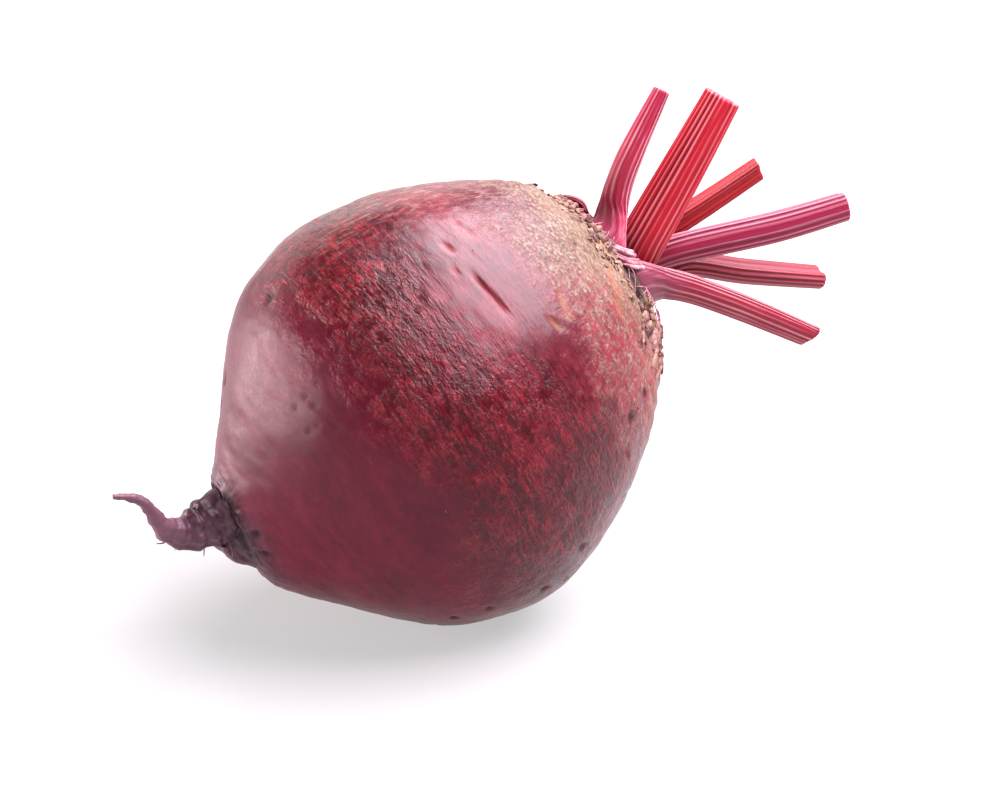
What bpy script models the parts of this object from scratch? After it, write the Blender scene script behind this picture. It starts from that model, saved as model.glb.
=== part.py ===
"""A whole beetroot, lifted and topped, lying on its side.

The swollen root, its crown and its tap root grew as one piece, so they are one solid. Six cut leaf stalks and
the torn base of another leaf stand round the crown, each a solid of its own. Every form is worked out on the
beet's own upright axes, in millimetres: z runs up the root from tail to crown, x points to the flank that
ends on top, and y to the flank that faces front. One empty then lays the whole beet down, so that it rests on
a small flat spot at the world's origin.
"""

import math

import bmesh
import bpy
from mathutils import Matrix, Vector, noise

MM = 0.001
TURN = 2 * math.pi
UP = Vector((0, 0, 1))

# How it lies: the crown end is up by this angle, and the flank is pressed flat by this depth.
LIE_ANGLE = math.radians(28.7)
FLAT_DEPTH = 1.5

# Outline of the swollen root, from the tap root up: height, radius, and how far the ring stands off the axis.
OUTLINE = [
    (0.9, 11.6, 1.6),
    (4.4, 16.3, 0.5),
    (10.0, 22.9, -1.4),
    (16.0, 29.7, -1.6),
    (23.0, 36.4, -1.3),
    (31.0, 41.0, -1.1),
    (42.0, 43.7, -1.1),
    (53.0, 42.7, -0.8),
    (66.0, 38.1, -0.3),
    (78.0, 31.4, 0.3),
    (85.0, 25.4, 1.1),
    (89.6, 19.0, 0.7),
    (92.0, 15.6, 0.6),
    (93.4, 12.4, 0.4),
    (94.6, 9.2, 0.2),
    (95.8, 5.0, 0.0),
    (96.2, 0.0, 0.0),
]
# Steps between one outline point and the next: fine at the crown, where the scars are.
OUTLINE_STEPS = [2, 2, 2, 2, 2, 3, 3, 3, 5, 6, 6, 4, 2, 1, 1, 1]
OFF_AXIS_TO = (0.866, -0.5)

# The tap root, from its broken tip in to the swollen root: centre x, y, z and radius.
TAP_ROOT = [
    (25.6, 4.0, -16.4, 0.60),
    (22.2, 4.0, -12.9, 0.95),
    (18.3, 3.8, -11.9, 1.25),
    (13.5, 3.4, -11.6, 2.10),
    (9.9, 2.6, -9.3, 3.20),
    (8.2, 1.8, -6.2, 4.20),
    (7.4, 1.0, -3.0, 5.10),
    (6.1, 0.3, -0.6, 6.00),
]
TAP_ROOT_STEPS = 4
LEAN_FADES = (4.5, 10.0)  # radii between which a ring turns from the tap root's line to the root's axis

# The end where the tap root leaves is cut askew: its rings tilt by this slope, which fades out up the root.
BASE_TILT = 0.13
BASE_TILT_FADES = (1.0, 10.0)

# Sides of a ring: the full count where the root is thick, then halved twice.
FULL_SIDES = 48
HALF_SIDES_BELOW = 7.5
QUARTER_SIDES_BELOW = 1.9

# Broad lobes of the flesh: (how many round, share of the radius, turn).
LOBES = [(2, 0.008, 0.6), (3, 0.006, -1.1), (5, 0.003, 2.0)]
LUMP_SIZE = 15.0
LUMP_HEIGHT = 0.55

# Folds that run down the shoulder from the leaf bases, and the corky rings across it.
FOLD_COUNT = 9
FOLD_HEIGHT = 0.75
FOLD_AT, FOLD_REACH = 87.0, 6.5
CORK_PITCH = 3.1
CORK_HEIGHT = 0.34
CORK_AT, CORK_REACH = 86.0, 7.5

# The corky rim round the leaf bases: its height, its own waves round the crown, and how thick it is.
RIM_Z, RIM_THICKNESS = 91.0, 0.8
RIM_HEIGHT, RIM_WAVE = 0.6, 0.4

# Lips left by fallen leaves: each is a crescent, one golden angle on from the last and a little higher.
SCAR_COUNT = 8
SCAR_TURN = math.radians(137.5)
SCAR_FIRST_Z, SCAR_RISE = 86.4, 0.62
SCAR_HALF_WIDTH = 4.2
SCAR_THICKNESS = 0.75
SCAR_HEIGHT = 0.85
SCAR_BOW = 0.045  # how fast the lip's ends rise, per millimetre squared

# The tap root's knuckles and lengthwise wrinkles.
KNUCKLE_PITCH = 3.3
KNUCKLE_DEPTH = 0.07
WRINKLE_COUNT = 7
WRINKLE_DEPTH = 0.06

# Leaf stalks. Each line runs from inside the crown out to the knife cut: centre x, y, z, half width, half depth.
# "outward" is the side that faces away from the crown's middle. "cut" tips the knife outward and across.
# A stalk whose "clasps" is false does not bend round the crown at its foot.
STALKS = {
    "leaf_stalk_1": {
        "line": [
            (10.1, 4.1, 91.0, 7.0, 1.7),
            (10.3, 4.1, 94.2, 7.0, 1.9),
            (11.3, 3.1, 96.3, 5.3, 2.2),
            (12.6, 2.5, 98.2, 3.3, 2.5),
            (16.1, 3.1, 101.2, 2.9, 2.6),
            (21.0, 4.1, 106.4, 2.7, 2.4),
            (28.9, 5.0, 117.6, 1.8, 1.6),
        ],
        "outward": (0.985, 0.17, -0.25),
        "ribs": 9,
        "cut": (0.10, 0.12),
        "colour": (0.62, 0.07, 0.14),
    },
    "leaf_stalk_2": {
        "line": [
            (-0.6, 2.8, 91.0, 4.2, 2.2),
            (-0.2, 2.9, 95.0, 4.4, 2.4),
            (3.0, 3.0, 100.6, 4.7, 2.6),
            (11.5, 3.0, 116.2, 4.3, 2.7),
            (18.2, 2.0, 129.5, 3.8, 2.6),
        ],
        "outward": (0.45, 0.89, -0.2),
        "ribs": 12,
        "cut": (-0.35, 0.0),
        "colour": (0.48, 0.02, 0.07),
    },
    "leaf_stalk_3": {
        "line": [
            (-1.2, -9.9, 90.5, 5.6, 1.7),
            (-1.5, -9.7, 94.0, 4.8, 1.9),
            (-3.4, -9.2, 101.0, 2.9, 2.3),
            (-5.2, -9.0, 113.4, 2.7, 2.3),
            (-7.3, -11.1, 134.4, 2.5, 2.1),
        ],
        "outward": (0.05, -1.0, 0.0),
        "ribs": 9,
        "cut": (0.35, 0.0),
        "colour": (0.5, 0.03, 0.08),
    },
    "leaf_stalk_4": {
        "line": [
            (-3.6, -3.0, 91.0, 2.5, 2.3),
            (-3.9, -2.8, 96.0, 2.7, 2.6),
            (-4.8, -1.4, 105.6, 3.2, 3.5),
            (-13.4, 1.0, 127.5, 3.4, 3.7),
            (-18.8, 2.0, 143.0, 3.3, 3.5),
        ],
        "outward": (-0.93, 0.30, 0.0),
        "ribs": 10,
        "cut": (0.05, 0.10),
        "colour": (0.6, 0.06, 0.13),
    },
    "leaf_stalk_5": {
        "line": [
            (-9.9, -3.2, 90.8, 5.0, 1.7),
            (-9.8, -3.4, 94.2, 4.5, 2.0),
            (-10.0, -4.7, 100.5, 3.0, 2.3),
            (-12.2, -6.1, 108.6, 3.0, 2.6),
            (-22.9, -7.0, 120.0, 3.0, 2.7),
            (-36.2, -9.0, 135.0, 2.8, 2.5),
        ],
        "outward": (-0.94, -0.34, -0.3),
        "ribs": 9,
        "cut": (0.05, -0.06),
        "colour": (0.52, 0.03, 0.1),
    },
    "leaf_stalk_6": {
        "line": [
            (-1.6, 10.9, 90.5, 7.4, 1.6),
            (-1.6, 10.8, 93.8, 7.4, 1.8),
            (-2.5, 10.4, 95.9, 5.6, 2.0),
            (-4.3, 10.1, 98.2, 3.7, 2.3),
            (-8.9, 10.8, 102.6, 3.0, 2.4),
            (-18.5, 12.5, 109.8, 2.8, 2.2),
            (-31.8, 14.0, 118.9, 2.5, 1.9),
        ],
        "outward": (-0.34, 0.94, -0.3),
        "ribs": 10,
        "cut": (0.05, -0.60),
        "colour": (0.64, 0.08, 0.17),
    },
    "torn_leaf_base": {
        "line": [
            (9.5, -5.9, 91.5, 2.7, 0.8),
            (10.4, -6.5, 95.0, 2.6, 0.8),
            (12.1, -7.5, 97.0, 2.4, 0.8),
            (13.9, -8.4, 95.8, 2.0, 0.7),
            (15.0, -9.0, 93.9, 1.3, 0.5),
        ],
        "outward": (0.55, -0.35, 0.75),
        "ribs": 6,
        "cut": (0.2, 0.5),
        "colour": (0.2, 0.03, 0.05),
        "clasps": False,
    },
}
STALK_STEPS = 2
SIDES_PER_RIB = 4
RIB_DEPTH = 0.055
CHANNEL_DEPTH = 0.42  # how far the inner face is hollowed, as a share of the half depth
CHANNEL_WIDTH = 0.55
CLASP_RADIUS = 11.3  # the crown's radius, which a stalk's wide foot bends round
CLASP_FADES = (95.0, 101.0)  # heights between which that bend fades
GAP = 0.35  # clearance between solids that touch on the real plant
CLEARANCE_FROM = 84.0  # height from which the crown is cleared out of the stalks' feet

# Plain finishes for the solids.
SKIN_COLOUR = (0.27, 0.035, 0.065)
SKIN_ROUGHNESS = 0.45
STALK_ROUGHNESS = 0.35


def clear_scene():
    """Removes every object of the startup scene."""
    for obj in list(bpy.data.objects):
        bpy.data.objects.remove(obj)


def plain_material(name, colour, roughness):
    """A material with one colour and roughness."""
    material = bpy.data.materials.new(name)
    material.use_nodes = True
    shader = material.node_tree.nodes["Principled BSDF"]
    shader.inputs["Base Color"].default_value = (*colour, 1.0)
    shader.inputs["Roughness"].default_value = roughness
    shader.inputs["Metallic"].default_value = 0.0
    return material


def smooth_step(low, high, value):
    """0 below low, 1 above high, and an S curve between them."""
    share = min(1.0, max(0.0, (value - low) / (high - low)))
    return share * share * (3 - 2 * share)


def bell(value):
    """A bump of height 1 round 0."""
    return math.exp(-value * value)


def wrapped(angle):
    """The same angle, from half a turn back to half a turn on."""
    return (angle + math.pi) % TURN - math.pi


def through(points, steps):
    """A smooth run of points through the given ones, with steps[i] steps from point i to the next."""
    ends = [points[0], *points, points[-1]]
    run = []
    for i, count in enumerate(steps):
        before, start, end, after = (Vector(p) for p in ends[i : i + 4])
        for k in range(count):
            t = k / count
            run.append(
                0.5
                * (
                    2 * start
                    + (end - before) * t
                    + (2 * before - 5 * start + 4 * end - after) * t * t
                    + (3 * start - before - 3 * end + after) * t * t * t
                )
            )
    run.append(Vector(points[-1]))
    return run


def root_line():
    """Centres and radii of the root's rings, from the tap root's tip to the top of the crown."""
    to_x, to_y = OFF_AXIS_TO
    swollen = [(off * to_x, off * to_y, z, radius) for z, radius, off in OUTLINE]
    steps = [TAP_ROOT_STEPS] * len(TAP_ROOT) + OUTLINE_STEPS
    return through(TAP_ROOT + swollen, steps)


def swelling(angle, z, radius):
    """Height of the flesh above the outline: lobes, lumps, shoulder folds, corky rings and leaf scars."""
    thick = smooth_step(5.0, 20.0, radius)
    height = radius * thick * sum(share * math.cos(n * angle + turn) for n, share, turn in LOBES)
    spot = Vector((radius * math.cos(angle), radius * math.sin(angle), z)) / LUMP_SIZE
    height += LUMP_HEIGHT * thick * noise.noise(spot)
    on_shoulder = bell((z - FOLD_AT) / FOLD_REACH) * smooth_step(3.0, 14.0, radius)
    height += FOLD_HEIGHT * on_shoulder * math.cos(FOLD_COUNT * angle + 0.9 * math.sin(2 * angle))
    wave = math.sin(TURN * z / CORK_PITCH + 1.6 * math.sin(2 * angle) + 0.8 * math.cos(3 * angle))
    height += CORK_HEIGHT * wave * bell((z - CORK_AT) / CORK_REACH) * smooth_step(3.0, 12.0, radius)
    rim = RIM_HEIGHT + RIM_WAVE * math.cos(5 * angle + 1.4 * math.sin(3 * angle))
    height += rim * bell((z - RIM_Z) / RIM_THICKNESS)
    return height + leaf_scars(angle, z, radius)


def leaf_scars(angle, z, radius):
    """Height of the lips that fallen leaves left round the crown."""
    height = 0.0
    for k in range(SCAR_COUNT):
        across = wrapped(angle - k * SCAR_TURN) * radius
        lip_z = SCAR_FIRST_Z + k * SCAR_RISE + SCAR_BOW * across * across
        height += SCAR_HEIGHT * bell((z - lip_z) / SCAR_THICKNESS) * bell(across / SCAR_HALF_WIDTH)
    return height


def tap_root_relief(angle, travelled, radius):
    """Height of the tap root's knuckles and wrinkles, which fade out on the swollen root."""
    thin = 1.0 - smooth_step(5.0, 11.0, radius)
    knuckles = KNUCKLE_DEPTH * math.sin(TURN * travelled / KNUCKLE_PITCH + math.sin(angle))
    wrinkles = WRINKLE_DEPTH * math.cos(WRINKLE_COUNT * angle) * smooth_step(1.5, 4.0, radius)
    return radius * thin * (knuckles + wrinkles)


def root_axis_at(z):
    """The way a ring of the swollen root faces: upright, but for the askew end by the tap root."""
    tilt = BASE_TILT * (1.0 - smooth_step(*BASE_TILT_FADES, z))
    return Vector((-tilt * OFF_AXIS_TO[0], -tilt * OFF_AXIS_TO[1], 1)).normalized()


def sides_at(radius, past_tap_root):
    """How many sides a ring of that radius has."""
    if past_tap_root or radius > HALF_SIDES_BELOW:
        return FULL_SIDES
    return FULL_SIDES // 2 if radius > QUARTER_SIDES_BELOW else FULL_SIDES // 4


def ring_axes(direction, toward):
    """Two axes across the direction, the first as near as can be to toward."""
    first = (toward - direction * toward.dot(direction)).normalized()
    return first, direction.cross(first)


def stitch(mesh, lower, upper):
    """Faces between two rings that have as many vertices, or one half as many as the other."""
    if len(lower) == len(upper):
        count = len(lower)
        for i in range(count):
            j = (i + 1) % count
            mesh.faces.new((lower[i], lower[j], upper[j], upper[i]))
        return
    few, many, flip = (lower, upper, False) if len(lower) < len(upper) else (upper, lower, True)
    for i, corner in enumerate(few):
        after = few[(i + 1) % len(few)]
        a, b, c = many[2 * i], many[2 * i + 1], many[(2 * i + 2) % len(many)]
        for face in ((corner, b, a), (corner, after, b), (after, c, b)):
            mesh.faces.new(face[::-1] if flip else face)


def fan(mesh, ring, middle, upward):
    """Closes a ring with triangles to one middle vertex."""
    for i, corner in enumerate(ring):
        after = ring[(i + 1) % len(ring)]
        mesh.faces.new((corner, after, middle) if upward else (after, corner, middle))


def new_object(name, mesh, material, lying):
    """Turns the mesh, in millimetres on the beet's own axes, into an object that lies down with the rest."""
    bmesh.ops.scale(mesh, vec=(MM, MM, MM), verts=mesh.verts)
    bmesh.ops.recalc_face_normals(mesh, faces=mesh.faces)
    data = bpy.data.meshes.new(name)
    mesh.to_mesh(data)
    mesh.free()
    data.shade_smooth()
    data.materials.append(material)
    obj = bpy.data.objects.new(name, data)
    bpy.context.scene.collection.objects.link(obj)
    obj.parent = lying
    return obj


def root_rings(mesh, line, first, grow):
    """Adds the rings of the root from the first given station up, grown by that much, and returns them."""
    last_of_tap_root = len(TAP_ROOT) * TAP_ROOT_STEPS
    rings = []
    travelled = 0.0
    for i, station in enumerate(line[:-1]):
        centre, radius = station.xyz, station[3]
        before, after = line[max(i - 1, 0)], line[i + 1]
        travelled += (centre - before.xyz).length
        if i < first:
            continue
        upright = smooth_step(*LEAN_FADES, radius) if i < last_of_tap_root else 1.0
        along = (after.xyz - before.xyz).normalized()
        direction = along.lerp(root_axis_at(centre.z), upright).normalized()
        flank_axes = ring_axes(direction, Vector((1, 0, 0.4)))
        climb = Vector((after.z - before.z, before[3] - after[3])).normalized()
        ring = []
        sides = sides_at(radius, i >= last_of_tap_root)
        for k in range(sides):
            angle = TURN * k / sides
            reach = radius + swelling(angle, centre.z, radius) + tap_root_relief(angle, travelled, radius)
            aside = flank_axes[0] * math.cos(angle) + flank_axes[1] * math.sin(angle)
            spot = centre + aside * (reach + grow * climb.x) + direction * (grow * climb.y)
            ring.append(mesh.verts.new(spot))
        rings.append(ring)
    return rings


def close_rings(mesh, rings, bottom, top):
    """Joins the rings into one closed skin, with a middle vertex at each end."""
    for lower, upper in zip(rings, rings[1:]):
        stitch(mesh, lower, upper)
    fan(mesh, rings[0], mesh.verts.new(bottom), upward=False)
    fan(mesh, rings[-1], mesh.verts.new(top), upward=True)


def make_root(lying, material):
    """The swollen root with its crown and tap root, as one closed solid."""
    line = root_line()
    mesh = bmesh.new()
    rings = root_rings(mesh, line, 0, 0.0)
    close_rings(mesh, rings, line[0].xyz, line[-1].xyz)
    return new_object("root", mesh, material, lying)


def stalk_ring(station, direction, spec):
    """Points of one ring of a stalk: ribbed all round, hollowed inside, bent round the crown at its foot."""
    centre, half_width, half_depth = station.xyz, station[3], station[4]
    clasp = 1.0 - smooth_step(*CLASP_FADES, centre.z) if spec.get("clasps", True) else 0.0
    away, across = ring_axes(direction.lerp(UP, clasp).normalized(), Vector(spec["outward"]))
    ribs = spec["ribs"]
    bend_radius = CLASP_RADIUS / max(clasp, 0.01)
    points = []
    for k in range(ribs * SIDES_PER_RIB):
        angle = TURN * k / (ribs * SIDES_PER_RIB)
        rib = 1 + RIB_DEPTH * math.cos(ribs * angle)
        out = half_depth * math.sin(angle) * rib
        if out < 0:
            out *= 1 - CHANNEL_DEPTH * bell(math.cos(angle) / CHANNEL_WIDTH)
        bend = half_width * math.cos(angle) * rib / bend_radius
        reach = bend_radius + out
        aside = across * math.sin(bend) * reach
        points.append(centre + aside + away * (math.cos(bend) * reach - bend_radius))
    return points


def along_cut(point, end, direction, axes, cut):
    """The point moved along the stalk onto the knife's plane through the stalk's end."""
    offset = point - end
    slope = offset.dot(axes[0]) * cut[0] + offset.dot(axes[1]) * cut[1]
    return point + direction * (slope - offset.dot(direction))


def make_stalk(name, spec, lying):
    """One cut leaf stalk, from its foot in the crown to the knife cut."""
    line = through(spec["line"], [STALK_STEPS] * (len(spec["line"]) - 1))
    mesh = bmesh.new()
    rings = []
    for i, station in enumerate(line):
        along = line[min(i + 1, len(line) - 1)].xyz - line[max(i - 1, 0)].xyz
        direction = along.normalized()
        points = stalk_ring(station, direction, spec)
        if i == len(line) - 1:
            axes = ring_axes(direction, Vector(spec["outward"]))
            points = [along_cut(p, station.xyz, direction, axes, spec["cut"]) for p in points]
        rings.append([mesh.verts.new(p) for p in points])
    close_rings(mesh, rings, line[0].xyz, line[-1].xyz)
    material = plain_material(name + "_skin", spec["colour"], STALK_ROUGHNESS)
    return new_object(name, mesh, material, lying)


def helper(name, data, lying):
    """An object that only shapes others, and is never shown."""
    obj = bpy.data.objects.new(name, data)
    bpy.context.scene.collection.objects.link(obj)
    obj.parent = lying
    obj.hide_render = True
    obj.display_type = "WIRE"
    return obj


def cut_away(obj, cutter):
    """Takes the cutter's space out of the object."""
    boolean = obj.modifiers.new("clear_of_" + cutter.name, "BOOLEAN")
    boolean.operation = "DIFFERENCE"
    boolean.object = cutter


def make_crown_clearance(lying):
    """The crown grown by the gap, which each stalk's foot is cut back from."""
    line = root_line()
    first = next(i for i, station in enumerate(line) if station.z > CLEARANCE_FROM)
    mesh = bmesh.new()
    rings = root_rings(mesh, line, first, GAP)
    close_rings(mesh, rings, line[first].xyz, line[-1].xyz + UP * GAP)
    bmesh.ops.scale(mesh, vec=(MM, MM, MM), verts=mesh.verts)
    bmesh.ops.recalc_face_normals(mesh, faces=mesh.faces)
    data = bpy.data.meshes.new("crown_clearance")
    mesh.to_mesh(data)
    mesh.free()
    return helper("crown_clearance", data, lying)


def make_ground_cutter():
    """A block under the ground, whose top presses the flat spot."""
    side, depth = 120 * MM, 20 * MM
    mesh = bmesh.new()
    bmesh.ops.create_cube(mesh, size=1.0)
    bmesh.ops.scale(mesh, vec=(side, side, depth), verts=mesh.verts)
    bmesh.ops.translate(mesh, vec=(0, 0, -depth / 2), verts=mesh.verts)
    data = bpy.data.meshes.new("ground")
    mesh.to_mesh(data)
    mesh.free()
    return helper("ground", data, None)


def lay_down(lying, root):
    """Turns the beet onto its flank and sets the middle of its flat spot on the world's origin."""
    turn = Matrix(
        (
            (-math.sin(LIE_ANGLE), 0, math.cos(LIE_ANGLE)),
            (0, -1, 0),
            (math.cos(LIE_ANGLE), 0, math.sin(LIE_ANGLE)),
        )
    )
    spots = [turn @ v.co for v in root.data.vertices]
    lowest = min(s.z for s in spots)
    pressed = [s for s in spots if s.z < lowest + FLAT_DEPTH * MM]
    middle = sum(pressed, Vector()) / len(pressed)
    lying.matrix_world = Matrix.Translation((-middle.x, -middle.y, -lowest - FLAT_DEPTH * MM)) @ turn.to_4x4()


def main():
    clear_scene()
    lying = bpy.data.objects.new("lying_beet", None)
    bpy.context.scene.collection.objects.link(lying)
    root = make_root(lying, plain_material("root_skin", SKIN_COLOUR, SKIN_ROUGHNESS))
    lay_down(lying, root)
    crown_clearance = make_crown_clearance(lying)
    cut_away(root, make_ground_cutter())
    for name, spec in STALKS.items():
        cut_away(make_stalk(name, spec, lying), crown_clearance)


main()
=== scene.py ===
"""Looks of a whole beetroot, lifted and topped, lying on its side on a pale floor.

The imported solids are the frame. Finer pieces of the same forms replace them: the root with its corky shoulder
and tap root, six cut leaf stalks and one torn leaf base. Old leaf-base tissue, fibres, rootlets and the vascular
bundles of the cut ends are added. Every form is worked out in millimetres on the beet's own upright axes, where z
runs from the tail to the crown, x points to the flank that ends on top and y to the flank that faces front. A
length is in millimetres where no unit is given.
"""

import logging
import math
from dataclasses import dataclass, field
from enum import Enum
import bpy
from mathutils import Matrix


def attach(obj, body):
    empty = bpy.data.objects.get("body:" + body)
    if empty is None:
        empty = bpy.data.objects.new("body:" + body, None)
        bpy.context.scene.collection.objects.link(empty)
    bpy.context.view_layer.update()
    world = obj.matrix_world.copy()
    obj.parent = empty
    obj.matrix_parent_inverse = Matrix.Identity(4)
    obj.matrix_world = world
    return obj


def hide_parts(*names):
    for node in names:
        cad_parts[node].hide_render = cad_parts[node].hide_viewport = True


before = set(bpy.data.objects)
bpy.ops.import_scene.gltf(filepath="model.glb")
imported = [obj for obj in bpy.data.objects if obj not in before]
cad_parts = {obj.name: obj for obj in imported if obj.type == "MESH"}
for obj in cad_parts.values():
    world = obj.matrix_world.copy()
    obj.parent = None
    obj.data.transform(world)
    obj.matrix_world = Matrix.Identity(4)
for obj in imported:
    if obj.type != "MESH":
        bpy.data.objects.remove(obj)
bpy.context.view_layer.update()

from types import SimpleNamespace

import bpy
import numpy as np
from mathutils import Vector, noise
from mathutils.bvhtree import BVHTree

LOG = logging.getLogger("beetroot")
MM = 0.001
TURN = 2 * math.pi
UP = np.array([0.0, 0.0, 1.0])
RING_START = np.array([1.0, 0.0, 0.4])
ODD_WAY = np.array([0.31, 0.57, 0.76])
BODY = "root"


def linear(colour: str) -> tuple[float, float, float, float]:
    """Turns an sRGB hex colour into a linear one.

    Args:
        colour: Six hex digits, without a mark before them.

    Returns:
        Red, green, blue and alpha, in linear light.
    """
    parts = [int(colour[i : i + 2], 16) / 255 for i in (0, 2, 4)]
    light = [c / 12.92 if c <= 0.04045 else ((c + 0.055) / 1.055) ** 2.4 for c in parts]
    return (*light, 1.0)


def smooth_step(low: float, high: float, value: np.ndarray) -> np.ndarray:
    """Gives 0 below low, 1 above high, and an S curve between them.

    Args:
        low: Where the curve leaves 0.
        high: Where it reaches 1.
        value: Values to look up.

    Returns:
        The share for each value.
    """
    share = np.clip((value - low) / (high - low), 0.0, 1.0)
    return share * share * (3 - 2 * share)


def bell(value: np.ndarray) -> np.ndarray:
    """A bump of height 1 round 0."""
    return np.exp(-np.square(value))


def wrapped(angle: np.ndarray) -> np.ndarray:
    """The same angle, from half a turn back to half a turn on."""
    return (angle + math.pi) % TURN - math.pi


def unit(vector: np.ndarray) -> np.ndarray:
    """The vector at length 1."""
    return vector / np.linalg.norm(vector)


def ring_angles(sides: int) -> np.ndarray:
    """Evenly spread angles for the corners of a ring."""
    return TURN * np.arange(sides) / sides


def travelled_along(line: np.ndarray) -> np.ndarray:
    """How far along a line each of its points is."""
    return np.concatenate([[0.0], np.cumsum(np.linalg.norm(np.diff(line, axis=0), axis=1))])


def vertex_spots(mesh: bpy.types.Mesh) -> np.ndarray:
    """Where a mesh's vertices are, one to a row."""
    spots = np.empty(len(mesh.vertices) * 3, np.float32)
    mesh.vertices.foreach_get("co", spots)
    return spots.reshape(-1, 3)


def through(knots: np.ndarray, steps: list[int]) -> np.ndarray:
    """Runs a smooth line through points.

    Args:
        knots: The points, one to a row.
        steps: How many steps each span is cut into.

    Returns:
        The points of the line, one to a row.
    """
    ends = np.vstack([knots[:1], knots, knots[-1:]])
    run = []
    for i, count in enumerate(steps):
        before, start, end, after = ends[i : i + 4]
        t = (np.arange(count) / count)[:, None]
        bend = (2 * before - 5 * start + 4 * end - after) * t**2
        twist = (3 * start - before - 3 * end + after) * t**3
        run.append(0.5 * (2 * start + (end - before) * t + bend + twist))
    return np.vstack([*run, knots[-1:]])


def steps_for(knots: np.ndarray, pitch: float) -> list[int]:
    """How many steps of about that pitch each span between the points takes."""
    spans = np.linalg.norm(np.diff(knots, axis=0), axis=1)
    return [max(1, math.ceil(span / pitch)) for span in spans]


def ring_axes(direction: np.ndarray, toward: np.ndarray) -> tuple[np.ndarray, np.ndarray]:
    """Two axes across a direction.

    Args:
        direction: The way the ring faces, at length 1.
        toward: What the first axis points to, as near as can be.

    Returns:
        The first and the second axis.
    """
    first = unit(toward - direction * np.dot(toward, direction))
    return first, np.cross(direction, first)


def feed(tree: bpy.types.NodeTree, made: bpy.types.Node, inputs: dict | tuple) -> None:
    """Sets or links a node's inputs.

    Args:
        tree: The node's tree.
        made: The node.
        inputs: A value or another node's socket for each input, by its name or by its place.
    """
    for key, value in inputs.items() if isinstance(inputs, dict) else enumerate(inputs):
        shown = [s for s in made.inputs if s.enabled]
        socket = shown[key] if isinstance(key, int) else next(s for s in shown if s.name == key)
        if isinstance(value, bpy.types.NodeSocket):
            tree.links.new(value, socket)
        else:
            socket.default_value = value


def node(
    tree: bpy.types.NodeTree, kind: str, inputs: dict | tuple = (), output: int | str = 0, **settings
) -> bpy.types.NodeSocket | bpy.types.Node:
    """Adds a node to a tree, with its settings and links.

    Args:
        tree: The tree of a material or of a geometry modifier.
        kind: Blender's name for the node.
        inputs: A value or another node's socket for each input, by its name or by its place.
        output: The output that is wanted, by its name or by its place.
        settings: The node's own properties. "stops" sets the points of a colour ramp.

    Returns:
        The output socket, or the node itself if it has none.
    """
    made = tree.nodes.new(kind)
    stops = settings.pop("stops", None)
    for key, value in settings.items():
        setattr(made, key, value)
    if stops:
        elements = made.color_ramp.elements
        while len(elements) < len(stops):
            elements.new(1.0)
        for element, (place, colour) in zip(elements, stops):
            element.position = place
            element.color = linear(colour)
    feed(tree, made, inputs)
    shown = [s for s in made.outputs if s.enabled]
    if not shown:
        return made
    return shown[output] if isinstance(output, int) else next(s for s in shown if s.name == output)


def swayed(
    tree: bpy.types.NodeTree, base: bpy.types.NodeSocket, pattern: bpy.types.NodeSocket, swing: float
) -> bpy.types.NodeSocket:
    """Shifts a value to and fro with a noise, by up to half the swing each way.

    Args:
        tree: The material's tree.
        base: The value.
        pattern: The noise, from 0 to 1.
        swing: How far apart the noise's ends push the value.

    Returns:
        The shifted value's socket.
    """
    centred = node(tree, "ShaderNodeMath", (pattern, 0.5), operation="SUBTRACT")
    return node(tree, "ShaderNodeMath", (centred, swing, base), operation="MULTIPLY_ADD")


def glazed(tree: bpy.types.NodeTree, colour: bpy.types.NodeSocket, layers: list[tuple]) -> bpy.types.NodeSocket:
    """Lays thin colours over a colour, one after the other.

    Args:
        tree: The material's tree.
        colour: The colour below them.
        layers: For each layer the value that it follows, the value where it starts, the one where it is full,
            its strength there, a share that it is multiplied by, and its hex colour.

    Returns:
        The colour's socket, with all layers on it.
    """
    for followed, start, full, strength, share, tint in layers:
        cover = node(tree, "ShaderNodeMapRange", (followed, start, full, 0.0, strength))
        cover = node(tree, "ShaderNodeMath", (cover, share), operation="MULTIPLY")
        colour = node(tree, "ShaderNodeMix", (cover, colour, linear(tint)), data_type="RGBA")
    return colour


def new_material(name: str) -> tuple[bpy.types.Material, bpy.types.NodeTree, bpy.types.Node]:
    """Starts a material, and gives it back with its tree and its shader."""
    made = bpy.data.materials.new(name)
    made.use_nodes = True
    return made, made.node_tree, made.node_tree.nodes["Principled BSDF"]


def new_geometry_tree(name: str, inputs: dict[str, tuple[str, float | int | None]]) -> tuple:
    """Starts a geometry tree with named inputs.

    Args:
        name: Name of the tree.
        inputs: The kind and the usual value of each input, by its name.

    Returns:
        The tree, and the socket of each input by its name, with "Geometry" among them.
    """
    tree = bpy.data.node_groups.new(name, "GeometryNodeTree")
    tree.interface.new_socket("Geometry", in_out="INPUT", socket_type="NodeSocketGeometry")
    for label, (kind, usual) in inputs.items():
        socket = tree.interface.new_socket(label, in_out="INPUT", socket_type="NodeSocket" + kind)
        if usual is not None:
            socket.default_value = usual
    tree.interface.new_socket("Geometry", in_out="OUTPUT", socket_type="NodeSocketGeometry")
    entry = tree.nodes.new("NodeGroupInput")
    return tree, {s.name: s for s in entry.outputs if s.name}


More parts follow.
